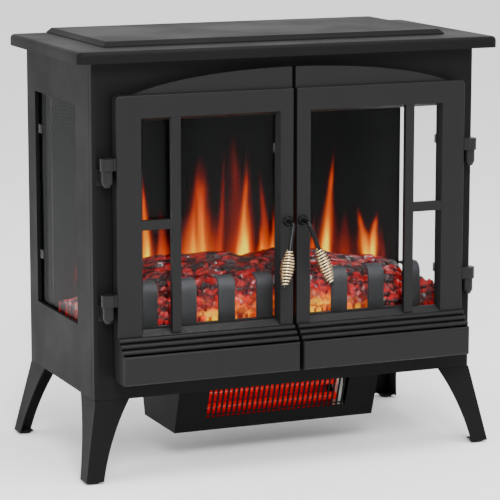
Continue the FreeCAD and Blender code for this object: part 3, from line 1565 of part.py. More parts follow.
def check(parts):
    """Stop if any object failed to recompute or any sub-part's shape is unusable."""
    failed = [item.Label for item in doc.Objects
              if "Invalid" in item.State or "Error" in item.State]
    bad = [part.Label for part in parts if part.Shape.isNull() or not part.Shape.isValid()]
    if failed or bad:
        raise RuntimeError(f"failed objects: {failed}, unusable shapes: {bad}")


def write(parts):
    """Write each sub-part to its own STEP file, named by its label."""
    os.makedirs("parts", exist_ok=True)
    for part in parts:
        part.Shape.exportStep(f"parts/{part.Label}.step")


doc = FreeCAD.newDocument("stove")
make_sheet(doc)
parts = (make_case_parts() + make_door_parts() + make_fire_parts() + make_heater_parts()
         + make_control_parts() + make_leg_parts())
doc.recompute()
check(parts)
write(parts)
print(len(parts), "sub-parts written")
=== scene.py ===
"""Looks of an electric stove heater: enamel case, glazed doors, lit log set and fan heater.

Metres. X runs to the right, Y to the back and Z up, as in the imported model. Each operator
finishes one piece or one group of like pieces, and main() runs them in order.
"""
import sys

import json
import math

import bmesh
import bpy
import numpy as np
from bpy.props import FloatProperty, FloatVectorProperty, IntProperty, PointerProperty
from bpy.types import Operator, Panel, PropertyGroup
from mathutils import Matrix, Vector
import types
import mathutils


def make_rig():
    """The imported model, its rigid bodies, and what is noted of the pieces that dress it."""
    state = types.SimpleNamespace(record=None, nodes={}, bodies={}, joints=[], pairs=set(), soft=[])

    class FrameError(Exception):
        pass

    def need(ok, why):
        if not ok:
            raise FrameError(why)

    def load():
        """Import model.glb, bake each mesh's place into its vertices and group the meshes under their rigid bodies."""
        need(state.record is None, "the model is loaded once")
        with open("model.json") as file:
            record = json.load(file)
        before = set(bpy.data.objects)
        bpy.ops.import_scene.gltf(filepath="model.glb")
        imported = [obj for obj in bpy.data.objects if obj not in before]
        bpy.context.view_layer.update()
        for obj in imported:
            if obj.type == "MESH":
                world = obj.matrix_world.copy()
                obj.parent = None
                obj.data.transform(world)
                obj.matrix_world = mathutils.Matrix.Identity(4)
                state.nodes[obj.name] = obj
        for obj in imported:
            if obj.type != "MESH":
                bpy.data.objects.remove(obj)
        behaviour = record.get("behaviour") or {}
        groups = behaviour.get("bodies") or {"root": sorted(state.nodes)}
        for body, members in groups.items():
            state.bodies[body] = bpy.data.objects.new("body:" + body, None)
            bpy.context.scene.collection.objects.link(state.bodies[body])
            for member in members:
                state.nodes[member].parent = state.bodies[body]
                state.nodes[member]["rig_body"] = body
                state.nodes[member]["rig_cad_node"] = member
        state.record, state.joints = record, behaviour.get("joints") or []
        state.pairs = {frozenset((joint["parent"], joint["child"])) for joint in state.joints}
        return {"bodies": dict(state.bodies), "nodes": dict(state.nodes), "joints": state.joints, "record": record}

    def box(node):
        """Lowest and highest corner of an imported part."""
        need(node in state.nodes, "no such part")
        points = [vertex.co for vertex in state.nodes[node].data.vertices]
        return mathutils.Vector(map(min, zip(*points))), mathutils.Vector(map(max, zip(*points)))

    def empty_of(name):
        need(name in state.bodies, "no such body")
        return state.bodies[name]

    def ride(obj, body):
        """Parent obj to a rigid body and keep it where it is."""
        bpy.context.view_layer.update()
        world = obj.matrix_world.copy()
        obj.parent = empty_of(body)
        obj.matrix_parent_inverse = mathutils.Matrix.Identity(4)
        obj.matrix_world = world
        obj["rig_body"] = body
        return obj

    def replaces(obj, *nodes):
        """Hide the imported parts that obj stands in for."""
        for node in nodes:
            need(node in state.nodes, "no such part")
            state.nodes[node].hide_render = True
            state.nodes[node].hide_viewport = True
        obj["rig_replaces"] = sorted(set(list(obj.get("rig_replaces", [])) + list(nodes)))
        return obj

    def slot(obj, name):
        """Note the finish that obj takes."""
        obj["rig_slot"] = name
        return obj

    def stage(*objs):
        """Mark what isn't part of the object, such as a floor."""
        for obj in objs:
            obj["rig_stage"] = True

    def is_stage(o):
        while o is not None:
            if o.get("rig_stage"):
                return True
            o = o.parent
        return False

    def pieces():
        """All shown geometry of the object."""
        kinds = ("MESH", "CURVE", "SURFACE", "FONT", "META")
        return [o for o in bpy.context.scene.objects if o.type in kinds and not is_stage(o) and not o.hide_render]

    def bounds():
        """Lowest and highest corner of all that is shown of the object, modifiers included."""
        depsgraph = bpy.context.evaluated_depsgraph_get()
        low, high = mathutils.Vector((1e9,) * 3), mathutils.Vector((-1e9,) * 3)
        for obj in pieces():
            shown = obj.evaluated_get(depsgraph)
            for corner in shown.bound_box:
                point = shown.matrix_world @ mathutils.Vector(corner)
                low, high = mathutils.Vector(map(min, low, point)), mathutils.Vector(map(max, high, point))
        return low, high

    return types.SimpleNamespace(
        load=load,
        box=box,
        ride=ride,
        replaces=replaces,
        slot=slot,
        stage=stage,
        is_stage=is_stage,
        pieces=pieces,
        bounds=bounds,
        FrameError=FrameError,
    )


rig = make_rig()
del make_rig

bl_info = {
    "name": "Electric Stove",
    "version": (1, 0, 0),
    "blender": (4, 5, 0),
    "location": "3D View > Sidebar > Stove",
    "description": "Finishes an electric stove heater around its packed model",
    "category": "Add Mesh",
}

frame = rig.load()
PACKED_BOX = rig.bounds()
SLOT_OF = {entry["node"]: entry["material_slot"] for entry in frame["record"]["subparts"]}
BODY_OF = {node: body for body, nodes in frame["record"]["behaviour"]["bodies"].items()
           for node in nodes}
# Lengths in metres and angles in radians.
WELD = 1e-5
FLAT_ANGLE = math.radians(0.4)
SHARP_ANGLE = math.radians(38)
FLOOR_REACH = 30
RELIEF_GRID = 0.0022
COAL_RISE = 0.015
BED_SWELL = 0.004
REAR_DROOP = 0.028
FILAMENT_WIRE = 0.0006

# Points around a log.
LOG_STEPS = 84

# Radius of a branch as a share of half its box, and of a filament as a share of its tube.
BRANCH_SHARE = 0.62
FILAMENT_SHARE = 0.62

# Share of a grip's half length where its narrow mouth starts.
GRIP_MOUTH = 0.96


# ---------------------------------------------------------------- settings

def colour(name, description, default):
    """Colour setting with the usual limits."""
    return FloatVectorProperty(name=name, description=description, default=default,
                               subtype="COLOR", size=3, min=0, max=1)


def length(name, description, default):
    """Length setting in metres."""
    return FloatProperty(name=name, description=description, default=default,
                         subtype="DISTANCE", unit="LENGTH", min=0)


class StoveSizes(PropertyGroup):
    """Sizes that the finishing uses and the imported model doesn't hold."""
    edge: length("Edge", "Rounding of folded and moulded edges", 0.0007)
    fine_edge: length("Fine edge", "Rounding of small parts' edges", 0.0003)
    bark_plate: length("Bark plate", "Length of a plate of bark", 0.0075)
    bark_depth: length("Bark depth", "Depth of the cracks between plates", 0.0052)
    coal: length("Coal", "Size of a coal in the ember bed", 0.013)
    coil_wire: length("Coil wire", "Radius of the wire of the handles", 0.00125)
    coil_turns: IntProperty(name="Coil turns", description="Turns of wire on a handle",
                            default=12, min=1)
    filament_turns: IntProperty(name="Filament turns", description="Turns inside a quartz tube",
                                default=46, min=1)
    flame_step: length("Flame step", "Spacing of the flame picture's points", 0.0018)


class StoveColours(PropertyGroup):
    """Colours of the finishes."""
    enamel: colour("Enamel", "Case and legs", (0.0046, 0.0046, 0.0048))
    moulding: colour("Moulding", "Doors and hinges", (0.0050, 0.0050, 0.0053))
    gloss: colour("Gloss black", "Handle rods and switches", (0.0035, 0.0035, 0.0038))
    grate: colour("Grate", "Fire guard", (0.0105, 0.0108, 0.0120))
    brass: colour("Brass", "Wound grips", (0.76, 0.60, 0.36))
    steel: colour("Steel", "Plated sheet and fasteners", (0.50, 0.50, 0.51))
    foil: colour("Foil", "Reflector and flicker vanes", (0.80, 0.79, 0.78))
    # The resin colours are blended by grain and by painted shade in the cracks of the logs.
    resin_dark: colour("Dark resin", "Cracks of the logs", (0.006, 0.0008, 0.001))
    resin_red: colour("Red resin", "Crests of the logs", (0.30, 0.002, 0.004))
    # The ember colours are a painted glow standing for the lamps under the logs and bed.
    ember_red: colour("Ember red", "Glow at the ends of the bed", (0.95, 0.008, 0.004))
    ember_orange: colour("Ember orange", "Glow of the bed", (1.0, 0.17, 0.0))
    ember_yellow: colour("Ember yellow", "Hottest glow", (1.0, 0.62, 0.0))
    heater_glow: colour("Heater glow", "Lit quartz and reflector", (0.60, 0.004, 0.008))
    ceramic: colour("Ceramic", "Tube holders and cut-out", (0.74, 0.71, 0.64))
    circuit: colour("Circuit board", "Lamp strips and control board", (0.012, 0.085, 0.032))
    floor: colour("Floor", "Studio floor", (0.92, 0.92, 0.92))


class StageSettings(PropertyGroup):
    """Camera, lights and surroundings."""
    camera_place: FloatVectorProperty(name="Camera", description="Where the camera stands",
                                      default=(-1.3313, -3.1466, 0.8897),
                                      subtype="TRANSLATION", unit="LENGTH", size=3)
    camera_turn: FloatVectorProperty(name="Camera turn", description="Which way it looks",
                                     default=(math.radians(79.8), 0, math.radians(-22.8)),
                                     subtype="EULER", unit="ROTATION", size=3)
    lens: FloatProperty(name="Lens", description="Focal length in millimetres",
                        default=178.4, min=1)
    sky: FloatProperty(name="Sky", description="Brightness of the surroundings",
                       default=1.45, min=0)
    key_power: FloatProperty(name="Key light", description="Power of the large front light",
                             default=170, min=0, unit="POWER")
    top_power: FloatProperty(name="Top light", description="Power of the overhead light",
                             default=45, min=0, unit="POWER")
    side_power: FloatProperty(name="Side light", description="Power of the left light",
                              default=30, min=0, unit="POWER")


# ---------------------------------------------------------------- node trees

class Value:
    """A number flowing through a node tree, for use in ordinary expressions."""

    def __init__(self, tree, socket):
        self.tree = tree
        self.socket = socket

    def __add__(self, other):
        return self.tree.maths("ADD", self, other)

    def __sub__(self, other):
        return self.tree.maths("SUBTRACT", self, other)

    def __rsub__(self, other):
        return self.tree.maths("SUBTRACT", other, self)

    def __mul__(self, other):
        return self.tree.maths("MULTIPLY", self, other)

    def __pow__(self, other):
        return self.tree.maths("POWER", self, other)

    __radd__ = __add__
    __rmul__ = __mul__


class NodeTree:
    """Adds nodes to a shader or geometry tree and links them up."""

    def __init__(self, tree):
        self.tree = tree

    def node(self, kind, settings=None, sockets=None):
        """Add a node by its type, set it up, then fill its sockets by name or number."""
        item = self.tree.nodes.new(kind)
        for name, setting in (settings or {}).items():
            setattr(item, name, setting)
        for name, value in (sockets or {}).items():
            self.feed(item.inputs[name], value)
        return item

    def feed(self, socket, value):
        """Link a value to a socket, or write a plain number or colour on it."""
        if isinstance(value, Value):
            value = value.socket
        if isinstance(value, bpy.types.NodeSocket):
            self.tree.links.new(value, socket)
        elif hasattr(value, "__len__") and len(value) == 3 and len(socket.default_value) == 4:
            socket.default_value = (*value, 1)
        else:
            socket.default_value = value

    def maths(self, operation, *values):
        """One Math node as a value."""
        node = self.node("ShaderNodeMath", {"operation": operation},
                         dict(enumerate(values)))
        return Value(self, node.outputs[0])


class Finish(NodeTree):
    """A material under construction, with its Principled shader ready."""

    def __init__(self, name, **sockets):
        self.material = bpy.data.materials.new(name)
        self.material.use_nodes = True
        super().__init__(self.material.node_tree)
        self.surface = self.tree.nodes["Principled BSDF"]
        self.place = self.node("ShaderNodeTexCoord").outputs["Object"]
        self.set(**sockets)

    def set(self, **sockets):
        """Fill the shader's sockets, named with underscores."""
        for name, value in sockets.items():
            self.feed(self.surface.inputs[name.replace("_", " ")], value)

    def carried(self, label):
        """A number stored on the mesh's points as a value."""
        stored = self.node("ShaderNodeAttribute", {"attribute_name": label})
        return Value(self, stored.outputs["Fac"])

    def axes(self):
        """The three Object coordinates as values."""
        split = self.node("ShaderNodeSeparateXYZ", sockets={0: self.place})
        return [Value(self, output) for output in split.outputs]

    def noise(self, scale, detail=3.0, stretch=(1, 1, 1)):
        """Soft noise, stretched along the axes, as a value from 0 to 1."""
        mapped = self.node("ShaderNodeMapping", sockets={"Vector": self.place, "Scale": stretch})
        grain = self.node("ShaderNodeTexNoise", sockets={
            "Vector": mapped.outputs[0], "Scale": scale, "Detail": detail})
        return Value(self, grain.outputs["Fac"])

    def cells(self, scale, feature="F1"):
        """Distances in a cell pattern as a value."""
        pattern = self.node("ShaderNodeTexVoronoi", {"feature": feature},
                            {"Vector": self.place, "Scale": scale})
        return Value(self, pattern.outputs["Distance"])

    def span(self, value, low, high, to_low=0.0, to_high=1.0):
        """Carry a value smoothly from one span to another, held at both ends."""
        node = self.node("ShaderNodeMapRange", {"interpolation_type": "SMOOTHSTEP"},
                         {0: value, 1: low, 2: high, 3: to_low, 4: to_high})
        return Value(self, node.outputs[0])

    def mix(self, factor, first, second):
        """Blend two colours."""
        node = self.node("ShaderNodeMix", {"data_type": "RGBA"}, {0: factor, 6: first, 7: second})
        return node.outputs[2]

    def scaled(self, shade, factor):
        """A colour made brighter or darker by a value."""
        node = self.node("ShaderNodeVectorMath", {"operation": "SCALE"},
                         {0: shade, "Scale": factor})
        return node.outputs[0]

    def ramp(self, value, stops):
        """Colour from a value through named stops."""
        node = self.node("ShaderNodeValToRGB", sockets={0: value})
        elements = node.color_ramp.elements
        for index, (place, shade) in enumerate(stops):
            element = elements[index] if index < 2 else elements.new(place)
            element.position = place
            element.color = (*shade, 1)
        return node.outputs[0]

    def bump(self, height, distance, strength=1.0):
        """Surface relief from a value, to a depth in metres."""
        node = self.node("ShaderNodeBump", sockets={
            "Height": height, "Distance": distance, "Strength": strength})
        self.set(Normal=node.outputs[0])


# ---------------------------------------------------------------- finishes

FINISHES = {}

# Sprayed and moulded finishes: name, colour setting and its share, roughness, gloss, fineness.
SPRAYED = {
    "enamel": ("satin_enamel", "enamel", 1, 0.50, 0.06, 650),
    "heater": ("heater_black", "enamel", 0.6, 0.5, 0.05, 800),
    "casting": ("cast_black", "moulding", 1, 0.42, 0.18, 1100),
    "inside": ("matt_inside", "enamel", 0.5, 0.62, 0.06, 900),
    "magnet": ("magnet", "enamel", 2.2, 0.55, 0.5, 2600),
    "ceramic": ("ceramic", "ceramic", 1, 0.72, 0.4, 1200),
    "plastic": ("black_plastic", "enamel", 1.1, 0.52, 0.4, 1900),
    "rubber": ("black_rubber", "enamel", 1.4, 0.78, 0.3, 1500),
    "floor": ("studio_floor", "floor", 1, 0.85, 0.1, 60),
}

# Bare metals: name, colour setting and its share, roughness, fineness of the grain, stretch.
METALS = {
    "brass": ("polished_brass", "brass", 1, 0.24, 240, (1, 1, 1)),
    "steel": ("plated_steel", "steel", 1, 0.38, 300, (0.08, 1, 1)),
    "foil": ("bright_foil", "foil", 1, 0.2, 120, (0.1, 1, 1)),
    "zinc": ("zinc_plate", "steel", 1, 0.3, 500, (1, 1, 1)),
}


def finish(name):
    """The material of a finish, made the first time it is asked for."""
    if name not in FINISHES:
        tint = bpy.context.scene.stove_colours
        if name in SPRAYED or name in METALS:
            make, rows = (sprayed, SPRAYED) if name in SPRAYED else (metal, METALS)
            label, setting, factor, *rest = rows[name]
            FINISHES[name] = make(label, toned(getattr(tint, setting), factor), *rest)
        else:
            FINISHES[name] = globals()["finish_" + name](tint)
    return FINISHES[name]


def toned(shade, factor):
    """A colour setting made brighter or darker by a number."""
    return tuple(min(1, level * factor) for level in shade)


def sprayed(name, shade, roughness, specular, peel):
    """Sprayed coating with slight orange peel, cloudiness and dust."""
    coat = Finish(name, Specular_IOR_Level=specular)
    cloud = coat.noise(9, 4)
    dust = coat.noise(420, 2)
    lighter = toned(shade, 1.45)
    coat.set(Base_Color=coat.mix(cloud * 0.7 + dust * 0.3, shade, lighter),
             Roughness=coat.span(cloud, 0.3, 0.7, roughness - 0.05, roughness + 0.06))
    coat.bump(coat.noise(peel, 2), 0.00006, 0.5)
    return coat.material


def finish_moulding(tint):
    """Moulded door with faint upright streaks in its satin coat: brush marks in its roughness and relief, and painted
    reflection streaks in its colour.
    """
    coat = Finish("satin_moulding", Specular_IOR_Level=0.17)
    cloud = coat.noise(7, 4)
    strokes = coat.noise(160, 2, (1, 1, 0.06))
    lighter = toned(tint.moulding, 1.5)
    # Painted reflection: the upright streaks lighten the colour, and they also mark the roughness and relief as brush
    # marks.
    coat.set(Base_Color=coat.mix(cloud * 0.6 + strokes * 0.4, tint.moulding, lighter),
             Roughness=coat.span(strokes, 0.3, 0.7, 0.40, 0.52))
    coat.bump(coat.noise(800, 2) * 0.6 + strokes * 0.4, 0.00006, 0.5)
    return coat.material


def finish_grate(tint):
    """Charcoal coat with a painted highlight, lighter where the bars curl over at the top."""
    coat = Finish("grate_coat", Specular_IOR_Level=0.25)
    z = coat.axes()[2]
    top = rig.box("grate")[1].z
    # Painted highlight: the colour turns lighter near the top of the grate, where the curled bars catch the light.
    worn = coat.span(z + coat.noise(60, 3) * 0.006, top - 0.020, top - 0.004)
    lighter = toned(tint.grate, 3.6)
    coat.set(Base_Color=coat.mix(worn, tint.grate, lighter),
             Roughness=coat.span(coat.noise(40, 3), 0.3, 0.7, 0.42, 0.55))
    coat.bump(coat.noise(900, 2), 0.00006, 0.5)
    return coat.material


def finish_gloss(tint):
    """Gloss black with the soft ripple of dipped lacquer."""
    coat = Finish("gloss_black", Base_Color=tint.gloss, Specular_IOR_Level=0.12, Coat_Weight=0.10,
                  Coat_Roughness=0.06)
    coat.set(Roughness=coat.span(coat.noise(60, 3), 0.3, 0.7, 0.14, 0.26))
    coat.bump(coat.noise(220, 2), 0.00005, 0.4)
    return coat.material


def metal(name, shade, roughness, grain, stretch):
    """Bare metal with drawn grain."""
    bare = Finish(name, Metallic=1.0)
    lines = bare.noise(grain, 3, stretch)
    stain = bare.noise(14, 4)
    darker = toned(shade, 0.72)
    bare.set(Base_Color=bare.mix(lines * 0.5 + stain * 0.5, darker, shade),
             Roughness=bare.span(lines, 0.25, 0.75, roughness - 0.08, roughness + 0.1))
    bare.bump(lines, 0.00003, 0.4)
    return bare.material


def finish_glass(tint):
    """Clear pane: see-through face on, glossier at a slant, with faint smears."""
    pane = Finish("clear_glass", Base_Color=(0.100, 0.104, 0.104), Metallic=1.0)
    slant = Value(pane, pane.node("ShaderNodeLayerWeight").outputs["Facing"])
    smear = pane.noise(24, 4, (1, 1, 0.4))
    pane.set(Alpha=slant ** 4 * 0.30 + 0.025,
             Roughness=pane.span(smear, 0.35, 0.75, 0.015, 0.07))
    return pane.material


def finish_resin(tint):
    """Translucent red resin with painted shade dark in its cracks, a painted glow of the lamps beneath it, and gloss
    on every chip.
    """
    resin = Finish("ember_resin", Specular_IOR_Level=0.35, Coat_Weight=0.50, Coat_Roughness=0.03,
                   Emission_Strength=1.0)
    x, y, z = resin.axes()
    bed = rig.box("ember_bed")
    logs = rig.box("log_rear")
    crest = resin.carried("crest")
    cloud = resin.noise(34, 3)
    grain = resin.noise(130, 3, (0.35, 1, 1))
    vein = resin.noise(210, 3)
    lit = resin.span(cloud * 0.35 + grain * 0.65, 0.42, 0.58)
    # Painted shade: the crest mask darkens the colour and the glow down into the cracks between the bark plates.
    lit = lit * resin.span(crest, 0.16, 0.55)
    resin.set(Base_Color=resin.mix(lit, tint.resin_dark, tint.resin_red),
              Roughness=resin.span(vein, 0.3, 0.7, 0.06, 0.20))
    # Painted glow of the lamps beneath the bed: brightest low, near the front, in the middle and on the crests.
    low = resin.span(z, bed[0].z + 0.012, bed[0].z + 0.046, 1, 0)
    near = resin.span(y, bed[0].y + 0.030, bed[0].y + 0.085, 1, 0)
    middle = resin.span(resin.maths("ABSOLUTE", x), 0.090, 0.165, 1, 0)
    patch = resin.span(resin.noise(30, 2), 0.36, 0.62, 0.35, 1.15)
    heat = low * near * middle * patch * resin.span(crest, 0.05, 0.45, 0.30, 1)
    # Painted glow fading towards the tops of the logs, away from the lamps below.
    top = resin.span(z, bed[1].z, logs[1].z - 0.004, 1, 0.22)
    glow = resin.mix(resin.span(heat, 0.10, 0.50), tint.ember_red, tint.ember_orange)
    glow = resin.mix(resin.span(heat, 0.45, 0.95), glow, tint.ember_yellow)
    # Emission of the painted glow: lit crests fading upwards, the glow near the lamps, and a faint glow everywhere.
    power = lit * top * 0.26 + heat * 1.15 + 0.006
    resin.set(Emission_Color=resin.scaled(glow, power))
    resin.bump(resin.noise(520, 3) + resin.cells(330) * 0.7, 0.0009, 1.0)
    return resin.material


FLAME_STOPS = (
    (0.00, (0.09, 0.000, 0.0)),
    (1.00, (1.45, 1.00, 0.0)),
    (0.20, (0.26, 0.003, 0.0)),
    (0.40, (0.60, 0.035, 0.0)),
    (0.62, (0.84, 0.120, 0.0)),
    (0.82, (1.05, 0.380, 0.0)),
)


def finish_flames(tint):
    """Dark glossy screen that shows the flame picture carried by its points."""
    screen = Finish("flame_screen", Base_Color=(0.0010, 0.0010, 0.0011), Specular_IOR_Level=0.03,
                    Emission_Strength=1.0)
    heat = screen.carried("flame_heat")
    glow = screen.carried("flame_glow")
    shade = screen.ramp(heat, FLAME_STOPS)
    screen.set(Emission_Color=screen.scaled(shade, glow * (heat * 0.25 + 0.95)),
               Roughness=screen.span(screen.noise(30, 3), 0.3, 0.7, 0.16, 0.24))
    screen.bump(screen.noise(700, 2), 0.00004, 0.4)
    return screen.material


def glowing(name, shade, strength, metallic, roughness):
    """Surface lit from within or by the heater, brighter in patches."""
    lit = Finish(name, Metallic=metallic, Emission_Strength=strength)
    patch = lit.noise(30, 3)
    lit.set(Base_Color=lit.mix(patch, shade, toned(shade, 0.5)),
            Roughness=lit.span(patch, 0.3, 0.7, roughness, roughness + 0.12),
            Emission_Color=lit.scaled(shade, patch * 0.8 + 0.6))
    lit.bump(lit.noise(300, 2), 0.00005, 0.5)
    return lit.material


def finish_filament(tint):
    return glowing("glowing_filament", (1.0, 0.03, 0.0), 0.8, 0.0, 0.5)


def finish_quartz(tint):
    return glowing("lit_quartz", (0.80, 0.006, 0.004), 0.30, 0.0, 0.1)


def finish_reflector(tint):
    return glowing("lit_reflector", tint.heater_glow, 0.14, 0.9, 0.2)


def finish_circuit(tint):
    """Lacquered board with copper tracks under the lacquer."""
    board = Finish("circuit_board", Specular_IOR_Level=0.5, Coat_Weight=0.4)
    tracks = board.span(board.cells(260, "DISTANCE_TO_EDGE"), 0.05, 0.09, 1, 0)
    pads = board.span(board.cells(190), 0.16, 0.20, 1, 0)
    shade = board.mix(tracks, tint.circuit, toned(tint.circuit, 2.4))
    board.set(Base_Color=board.mix(pads, shade, tint.steel), Metallic=pads * 0.9,
              Roughness=board.span(board.noise(50, 3), 0.3, 0.7, 0.28, 0.45))
    board.bump(tracks, 0.00004, 0.6)
    return board.material


# ---------------------------------------------------------------- pieces

def deliver(piece, node):
    """Put a finished piece on its node's body, in place of the node."""
    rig.ride(piece, BODY_OF[node])
    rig.replaces(piece, node)
    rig.slot(piece, SLOT_OF[node])


def new_object(name, mesh):
    """Object for a mesh, linked to the scene."""
    piece = bpy.data.objects.new(name, mesh)
    bpy.context.scene.collection.objects.link(piece)
    return piece


def settle(piece):
    """Turn an object's modifiers into plain mesh."""
    graph = bpy.context.evaluated_depsgraph_get()
    mesh = bpy.data.meshes.new_from_object(piece.evaluated_get(graph), depsgraph=graph,
                                           preserve_all_data_layers=True)
    piece.modifiers.clear()
    piece.data = mesh
    return piece


def welded(node):
    """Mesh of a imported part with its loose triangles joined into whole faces."""
    bm = bmesh.new()
    bm.from_mesh(frame["nodes"][node].data)
    bmesh.ops.remove_doubles(bm, verts=bm.verts, dist=WELD)
    bmesh.ops.dissolve_limit(bm, angle_limit=FLAT_ANGLE, verts=bm.verts, edges=bm.edges)
    return bm


def rounded(node, coat, edge, segments=2):
    """Stand-in for a part of right shape, with its sharp edges softened."""
    bm = welded(node)
    for face in bm.faces:
        face.smooth = True
    mesh = bpy.data.meshes.new(node + "_finished")
    bm.to_mesh(mesh)
    bm.free()
    if mesh.has_custom_normals:
        mesh.attributes.remove(mesh.attributes["custom_normal"])
    mesh.materials.append(finish(coat))
    piece = new_object(node + "_finished", mesh)
    soften = piece.modifiers.new("soften", "BEVEL")
    soften.width = edge
    soften.segments = segments
    soften.limit_method = "ANGLE"
    soften.angle_limit = SHARP_ANGLE
    soften.use_clamp_overlap = True
    flatten = piece.modifiers.new("flatten", "WEIGHTED_NORMAL")
    flatten.weight = 100
    settle(piece)
    deliver(piece, node)


def rounded_set(coat, edge, *nodes):
    """Soften several parts alike."""
    for node in nodes:
        rounded(node, coat, edge)


def islands(node):
    """Lowest and highest corner of each separate solid of a part."""
    bm = bmesh.new()
    bm.from_mesh(frame["nodes"][node].data)
    bmesh.ops.remove_doubles(bm, verts=bm.verts, dist=WELD)
    waiting = set(bm.verts)
    boxes = []
    while waiting:
        stack = [waiting.pop()]
        found = []
        while stack:
            vert = stack.pop()
            found.append(vert.co.copy())
            for edge in vert.link_edges:
                other = edge.other_vert(vert)
                if other in waiting:
                    waiting.remove(other)
                    stack.append(other)
        spots = np.array(found)
        boxes.append((Vector(spots.min(0)), Vector(spots.max(0))))
    bm.free()
    return sorted(boxes, key=lambda pair: tuple(pair[0]))


def lathe(outline, steps=32):
    """Mesh turned about Z from (radius, height) points, closed where a radius is 0."""
    bm = bmesh.new()
    rings = []
    for radius, height in outline:
        count = 1 if radius == 0 else steps
        rings.append([bm.verts.new((radius * math.cos(math.tau * step / steps),
                                    radius * math.sin(math.tau * step / steps), height))
                      for step in range(count)])
    for low, high in zip(rings, rings[1:]):
        for step in range(steps):
            after = (step + 1) % steps
            corners = [low[step % len(low)], low[after % len(low)],
                       high[after % len(high)], high[step % len(high)]]
            bm.faces.new(dict.fromkeys(corners)).smooth = True
    bmesh.ops.recalc_face_normals(bm, faces=bm.faces)
    return bm


def joined(name, placed, coat):
    """One piece from (bmesh, matrix) pairs."""
    mesh = bpy.data.meshes.new(name)
    whole = bmesh.new()
    for part, matrix in placed:
        loose = bpy.data.meshes.new("loose")
        part.to_mesh(loose)
        loose.transform(matrix)
        whole.from_mesh(loose)
        bpy.data.meshes.remove(loose)
    whole.to_mesh(mesh)
    whole.free()
    mesh.materials.append(finish(coat))
    return new_object(name, mesh)


def long_axis(node):
    """Middle of a part, its long direction and its half length along it."""
    spots = np.array([vert.co for vert in frame["nodes"][node].data.vertices])
    middle = (spots.min(0) + spots.max(0)) / 2
    spread = spots - spots.mean(0)
    direction = np.linalg.eigh(spread.T @ spread)[1][:, -1]
    direction = direction * np.sign(direction[np.abs(direction).argmax()])
    along = (spots - middle) @ direction
    middle = middle + direction * (along.min() + along.max()) / 2
    return Vector(middle), Vector(direction), float(np.ptp(along)) / 2


# ---------------------------------------------------------------- geometry nodes

class Growth(NodeTree):
    """A geometry tree with named inputs, run once to make a plain mesh."""

    def __init__(self, name, **inputs):
        group = bpy.data.node_groups.new(name, "GeometryNodeTree")
        super().__init__(group)
        self.names = {}
        interface = group.interface
        interface.new_socket("Geometry", in_out="OUTPUT", socket_type="NodeSocketGeometry")
        base = interface.new_socket("Geometry", in_out="INPUT", socket_type="NodeSocketGeometry")
        base.description = "Points or lines that the tree works on"
        for label, kind in inputs.items():
            socket = interface.new_socket(label, in_out="INPUT", socket_type="NodeSocket" + kind)
            self.names[label] = socket.identifier
        self.entry = self.node("NodeGroupInput")

    def given(self, label):
        """One of the tree's inputs as a value."""
        return Value(self, self.entry.outputs[label])

    def end(self, geometry):
        """Close the tree: real geometry with its material."""
        real = self.node("GeometryNodeRealizeInstances", sockets={0: geometry})
        coated = self.node("GeometryNodeSetMaterial", sockets={
            "Geometry": real.outputs[0], "Material": self.given("Coat")})
        self.node("NodeGroupOutput", sockets={0: coated.outputs[0]})

    def grow(self, name, mesh, **values):
        """Run the tree on a mesh and return the plain result."""
        piece = new_object(name, mesh)
        modifier = piece.modifiers.new(self.tree.name, "NODES")
        modifier.node_group = self.tree
        for label, value in values.items():
            modifier[self.names[label]] = value
        return settle(piece)


def winding_tree():
    """Wire wound along Z, wider in the middle than at its ends."""
    tree = Growth("winding", Length="Float", Turns="Int", End="Float", Middle="Float",
                  Wire="Float", Coat="Material")
    reach = tree.node("ShaderNodeCombineXYZ", sockets={2: tree.given("Length")})
    line = tree.node("GeometryNodeCurvePrimitiveLine", sockets={"End": reach.outputs[0]})
    steps = tree.given("Turns") * 24
    fine = tree.node("GeometryNodeResampleCurve", sockets={"Curve": line.outputs[0],
                                                           "Count": steps})
    share = Value(tree, tree.node("GeometryNodeSplineParameter").outputs["Factor"])
    angle = share * tree.given("Turns") * math.tau
    swell = tree.maths("SINE", share * math.pi)
    radius = tree.given("End") + (tree.given("Middle") - tree.given("End")) * swell
    aside = tree.node("ShaderNodeCombineXYZ", sockets={
        0: radius * tree.maths("COSINE", angle), 1: radius * tree.maths("SINE", angle)})
    wound = tree.node("GeometryNodeSetPosition", sockets={
        "Geometry": fine.outputs[0], "Offset": aside.outputs[0]})
    section = tree.node("GeometryNodeCurvePrimitiveCircle",
                        sockets={"Resolution": 8, "Radius": tree.given("Wire")})
    tube = tree.node("GeometryNodeCurveToMesh", sockets={
        "Curve": wound.outputs[0], "Profile Curve": section.outputs[0], "Fill Caps": True})
    smooth = tree.node("GeometryNodeSetShadeSmooth", sockets={0: tube.outputs[0]})
    tree.end(smooth.outputs[0])
    return tree


def planting_tree():
    """Copies of an object, one at every point, all turned alike."""
    tree = Growth("planting", Kind="Object", Turn="Vector", Coat="Material")
    kind = tree.node("GeometryNodeObjectInfo", sockets={"Object": tree.given("Kind")})
    copies = tree.node("GeometryNodeInstanceOnPoints", sockets={
        "Points": tree.entry.outputs["Geometry"], "Instance": kind.outputs["Geometry"],
        "Rotation": tree.given("Turn")})
    tree.end(copies.outputs[0])
    return tree


def plant(tree, name, spots, kind_mesh, turn, coat):
    """Grow copies of a mesh at spots, and drop the pattern object."""
    pattern = new_object(name + "_pattern", kind_mesh)
    cloud = bpy.data.meshes.new(name)
    cloud.from_pydata([tuple(spot) for spot in spots], [], [])
    piece = tree.grow(name, cloud, Kind=pattern, Turn=turn, Coat=finish(coat))
    bpy.data.objects.remove(pattern)
    return piece


# ---------------------------------------------------------------- rough surfaces

